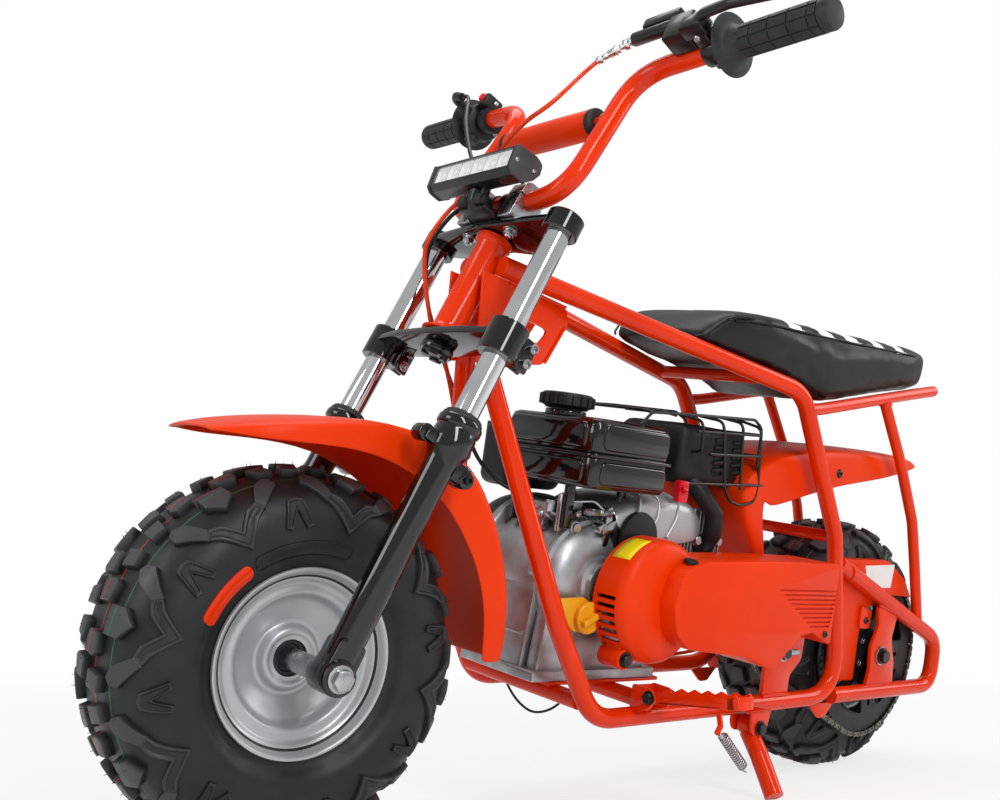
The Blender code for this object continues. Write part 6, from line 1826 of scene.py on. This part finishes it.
# %% Seat cushion
SEAT = (
    # x, half width of the top, half width of the foot, low z, top z
    (452, 66, 64, 562, 566), (444, 75, 71, 560, 576), (432, 80, 75, 558, 588), (418, 84, 79, 556, 599),
    (406, 88, 82, 555, 604),
    (385, 93, 86, 552, 607), (340, 99, 92, 548, 610), (260, 102, 95, 536, 612), (205, 102, 96, 520, 614),
    (140, 102, 96, 532, 617),
    (60, 101, 96, 550, 621), (-10, 97, 92, 564, 624), (-44, 90, 86, 573, 624), (-60, 80, 76, 579, 620),
    (-68, 64, 60, 587, 612),
)
SEAT_PRESSURE = 1.2
SEAT_CAP = 1.8
BARS = ((308, 281), (245, 212), (179, 149), (114, 88), (49, 26))


def seat_row(x, top_half, foot_half, low, top):
    """A section of the seat: flat crown, rounded edge, side that pulls in to the board, flat underside."""
    side = [
        (x, share * top_half, top + drop)
        for share, drop in ((0, 0), (0.4, 0), (0.75, -0.6), (0.93, -2.6), (1.0, -8.0))
    ]
    wall = max(top - 8.0 - low, 2)
    side += [(x, top_half + (foot_half - top_half) * share, top - 8.0 - wall * share) for share in (0.3, 0.6, 0.9)]
    side += [(x, foot_half - 4, low), (x, foot_half * 0.5, low)]
    return side + [(x, 0, low)] + [(a, -b, c) for a, b, c in reversed(side[1:])]


cushion = bmesh.new()
rings = []
for station in SEAT:
    verts = [cushion.verts.new(mm(*point)) for point in seat_row(*station)]
    rings.append([cushion.edges.new((verts[i - 1], verts[i])) for i in range(len(verts))])
for before, after in zip(rings, rings[1:]):
    bmesh.ops.bridge_loops(cushion, edges=before + after)
for ring in (rings[0], rings[-1]):
    bmesh.ops.contextual_create(cushion, geom=ring)
bmesh.ops.recalc_face_normals(cushion, faces=cushion.faces)
seat = piece("vinyl_seat", cushion, "seat_vinyl", stands_for=["seat"], smooth=60)


def puffed(obj, voxel, pressure, cap, frames=20):
    """Remeshes a cushion and blows it up as cloth, each point moving at most the cap (mm)."""
    remesh = obj.modifiers.new("even", "REMESH")
    remesh.mode = "VOXEL"
    remesh.voxel_size = voxel * MM
    remesh.use_smooth_shade = True
    scene = bpy.context.scene
    deps = bpy.context.evaluated_depsgraph_get()
    mesh = bpy.data.meshes.new_from_object(obj.evaluated_get(deps))
    obj.modifiers.clear()
    obj.data = mesh
    bm = bmesh.new()
    bm.from_mesh(mesh)
    for _ in range(3):
        bmesh.ops.smooth_vert(bm, verts=bm.verts, factor=0.5, use_axis_x=True, use_axis_y=True, use_axis_z=True)
    bm.to_mesh(mesh)
    bm.free()
    rest = [v.co.copy() for v in mesh.vertices]
    cloth = obj.modifiers.new("puff", "CLOTH")
    cloth.settings.use_pressure = True
    cloth.settings.uniform_pressure_force = pressure
    cloth.settings.effector_weights.gravity = 0
    cloth.settings.quality = 4
    cloth.point_cache.frame_end = frames
    for frame_number in range(1, frames + 1):
        scene.frame_set(frame_number)
    deps = bpy.context.evaluated_depsgraph_get()
    blown = bpy.data.meshes.new_from_object(obj.evaluated_get(deps))
    obj.modifiers.clear()
    obj.data = blown
    for vert, start in zip(blown.vertices, rest):
        move = vert.co - start
        if move.length > cap * MM:
            vert.co = start + move.normalized() * cap * MM
    scene.frame_set(1)
    blown.shade_smooth()
    soft = obj.modifiers.new("soft", "SUBSURF")
    soft.levels = soft.render_levels = 1
    return obj


puffed(seat, 6.0, SEAT_PRESSURE, SEAT_CAP)
print("seat points:", len(seat.data.vertices))

# %% [markdown]
# The two seams of each corner and the seam along the top edge are narrow cords of folded vinyl. They follow
# the stations of the loft, a little inside it, so they lie in the cushion's surface.

# %% Seat seams
path = []
for side in (1, -1):
    run = [(x, side * (half - 1.2), top - 11.5) for x, half, foot, low, top in SEAT[4:-3]]
    path += run if side > 0 else run[::-1]
piece("seat_piping", tube(path, 1.4, bend=9, sides=12, steps=4), "seat_vinyl", smooth=60)
corner = []
for side in (1, -1):
    for shift_x in (0, 9):
        corner.append(
            tube([(x - shift_x, side * (half - 0.6), max(top - 7, low + 3))
            for x, half, foot, low, top in SEAT[:6]], 1.5, bend=6, sides=12)
        )
piece("seat_corner_seams", merge(*corner), "seat_vinyl", smooth=60)

# %% [markdown]
# The white bars are ink on the vinyl, so they are a colour in its finish: five bands across the seat, on the
# faces that look up.

# %% Printed bars
INK_LEAST_UP = 0.35
tree = MATS["seat_vinyl"].node_tree
shader = tree.nodes["Principled BSDF"]
black_colour = shader.inputs["Base Color"].links[0].from_socket
spot = add(tree, "TexCoord").outputs["Object"]
BIKE_X, BIKE_Z = BIKE.col[0].to_3d(), BIKE.col[2].to_3d()
ahead_by = add(tree, "VectorMath", {0: spot, 1: BIKE_X}, operation="DOT_PRODUCT").outputs["Value"]
ahead_by = add(tree, "Math", {0: ahead_by, 1: BIKE_X.dot(BIKE.translation)}, operation="SUBTRACT").outputs[0]
looks_up = add(
    tree, "VectorMath", {0: add(tree, "NewGeometry").outputs["Normal"], 1: BIKE_Z}, operation="DOT_PRODUCT"
).outputs["Value"]
on_top = add(tree, "Math", {0: looks_up, 1: INK_LEAST_UP}, operation="GREATER_THAN").outputs[0]
inked = None
for start, end in BARS:
    band = add(
        tree, "Math", {0: ahead_by, 1: (start + end) / 2 * MM, 2: (start - end) / 2 * MM}, operation="COMPARE"
    ).outputs[0]
    inked = band if inked is None else add(tree, "Math", {0: inked, 1: band}, operation="MAXIMUM").outputs[0]
inked = add(tree, "Math", {0: inked, 1: on_top}, operation="MULTIPLY").outputs[0]
mixed = add(tree, "Mix", {"Factor": inked, "A": black_colour, "B": linear("EDEDED")}, data_type="RGBA")
tree.links.new(mixed.outputs["Result"], shader.inputs["Base Color"])

# %% [markdown]
# ## Cables
#
# The red brake cable leaves the lever's adjuster in a wide arc, drops behind the lamp and in front of the
# steering head, passes behind the lower clamp and runs down the right frame tube to the brake at the back. The
# black throttle cable runs beside it to the carburettor. On the real machine both bend where the steering turns;
# here they stay fixed, their points given in the fork's axes above and the frame's below. A thin earth wire
# hangs in a loop under the engine.

# %% Cables
def from_fork(points):
    """Fork coordinates (mm) as bike coordinates (mm)."""
    turn = BIKE.inverted() @ FORK
    return [tuple((turn @ mm(*point)) / MM) for point in points]


def from_left_bar(points):
    turn = BIKE.inverted() @ FORK @ AT_LEFT
    return [tuple((turn @ mm(*point)) / MM) for point in points]


def from_right_bar(points):
    turn = BIKE.inverted() @ FORK @ AT_RIGHT
    return [tuple((turn @ mm(*point)) / MM) for point in points]


def smooth_line(points, steps=6):
    """A smooth line through the points."""
    points = [Vector(p) for p in points]
    line = []
    for i in range(len(points) - 1):
        a, b = points[i], points[i + 1]
        before, after = points[max(i - 1, 0)], points[min(i + 2, len(points) - 1)]
        for k in range(steps):
            t = k / steps
            line.append(
                0.5 * (2 * a + (b - before) * t + (2 * before - 5 * a + 4 * b - after) * t * t
                + (3 * a - before - 3 * b + after) * t ** 3)
            )
    return line + [points[-1]]


brake = from_left_bar([BARREL_END, CABLE_START]) + from_fork([
    (52, 66, 620), (55, 38, 596), (50, 10, 572), (34, -4, 552), (30, -18, 530), (45, -36, 506), (42, -60, 464),
    (24, -70, 437),
    (2, -72, 411), (-16, -72, 394), (-53, -68, 363),
]) + [(700, -58, 431), (676, -72, 380), (655, -80, 320), (636, -84, 250), (606, -88, 180), (560, -90, 143), (430,
-90, 139),
      (300, -90, 139), (180, -90, 146), (128, -93, 160), (100, -100, 182), (84, -104, 196)]
throttle = from_right_bar([(50, -6, -30), (49, -10, -48)]) + from_fork([
    (46, -120, 640), (42, -78, 590), (33, -44, 552), (28, -36, 525), (38, -48, 496), (34, -66, 462), (16, -76, 434),
    (-6, -78, 408),
    (-24, -78, 390), (-60, -70, 358),
]) + [(690, -52, 428), (668, -52, 392), (640, -46, 366), (616, -26, 352), (602, -10, 346)]
for name, points, radius, mat in (
    ("brake_cable", brake, 2.5, "cable_red"), ("throttle_cable", throttle, 2.4, "cable_black")
):
    line = smooth_line(points)
    cable = piece(name, tube([tuple(p) for p in line], radius, bend=0, sides=12), mat, body=None, smooth=60)
    start, end = from_fork([(-6, -74, 404)])[0], (690, -60, 428)
    tuple(BIKE @ mm(*start))
    tuple(BIKE @ mm(*end))
    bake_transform(cable)
wire = smooth_line([
    (604, -62, 230), (600, -66, 200), (590, -66, 168), (577, -60, 144), (564, -50, 116), (550, -40, 99),
    (537, -30, 93), (520, -20, 99), (506, -10, 117), (499, -4, 135), (496, 0, 149)
])
piece("earth_wire", tube([tuple(p) for p in wire], 1.5, bend=0, sides=10), "cable_black", smooth=60)
print("cables: brake", len(brake), "throttle", len(throttle))

# %% [markdown]
# ## Finishes of the imported parts
#
# Each part of the imported frame gets the finish that model.json names for its material slot.

# %% Finishes of the imported parts
slots = {part["node"]: part["material_slot"] for part in frame["record"]["subparts"]}
for name, node in frame["nodes"].items():
    for entry in node.material_slots:
        entry.material = MATS[slots[name]]
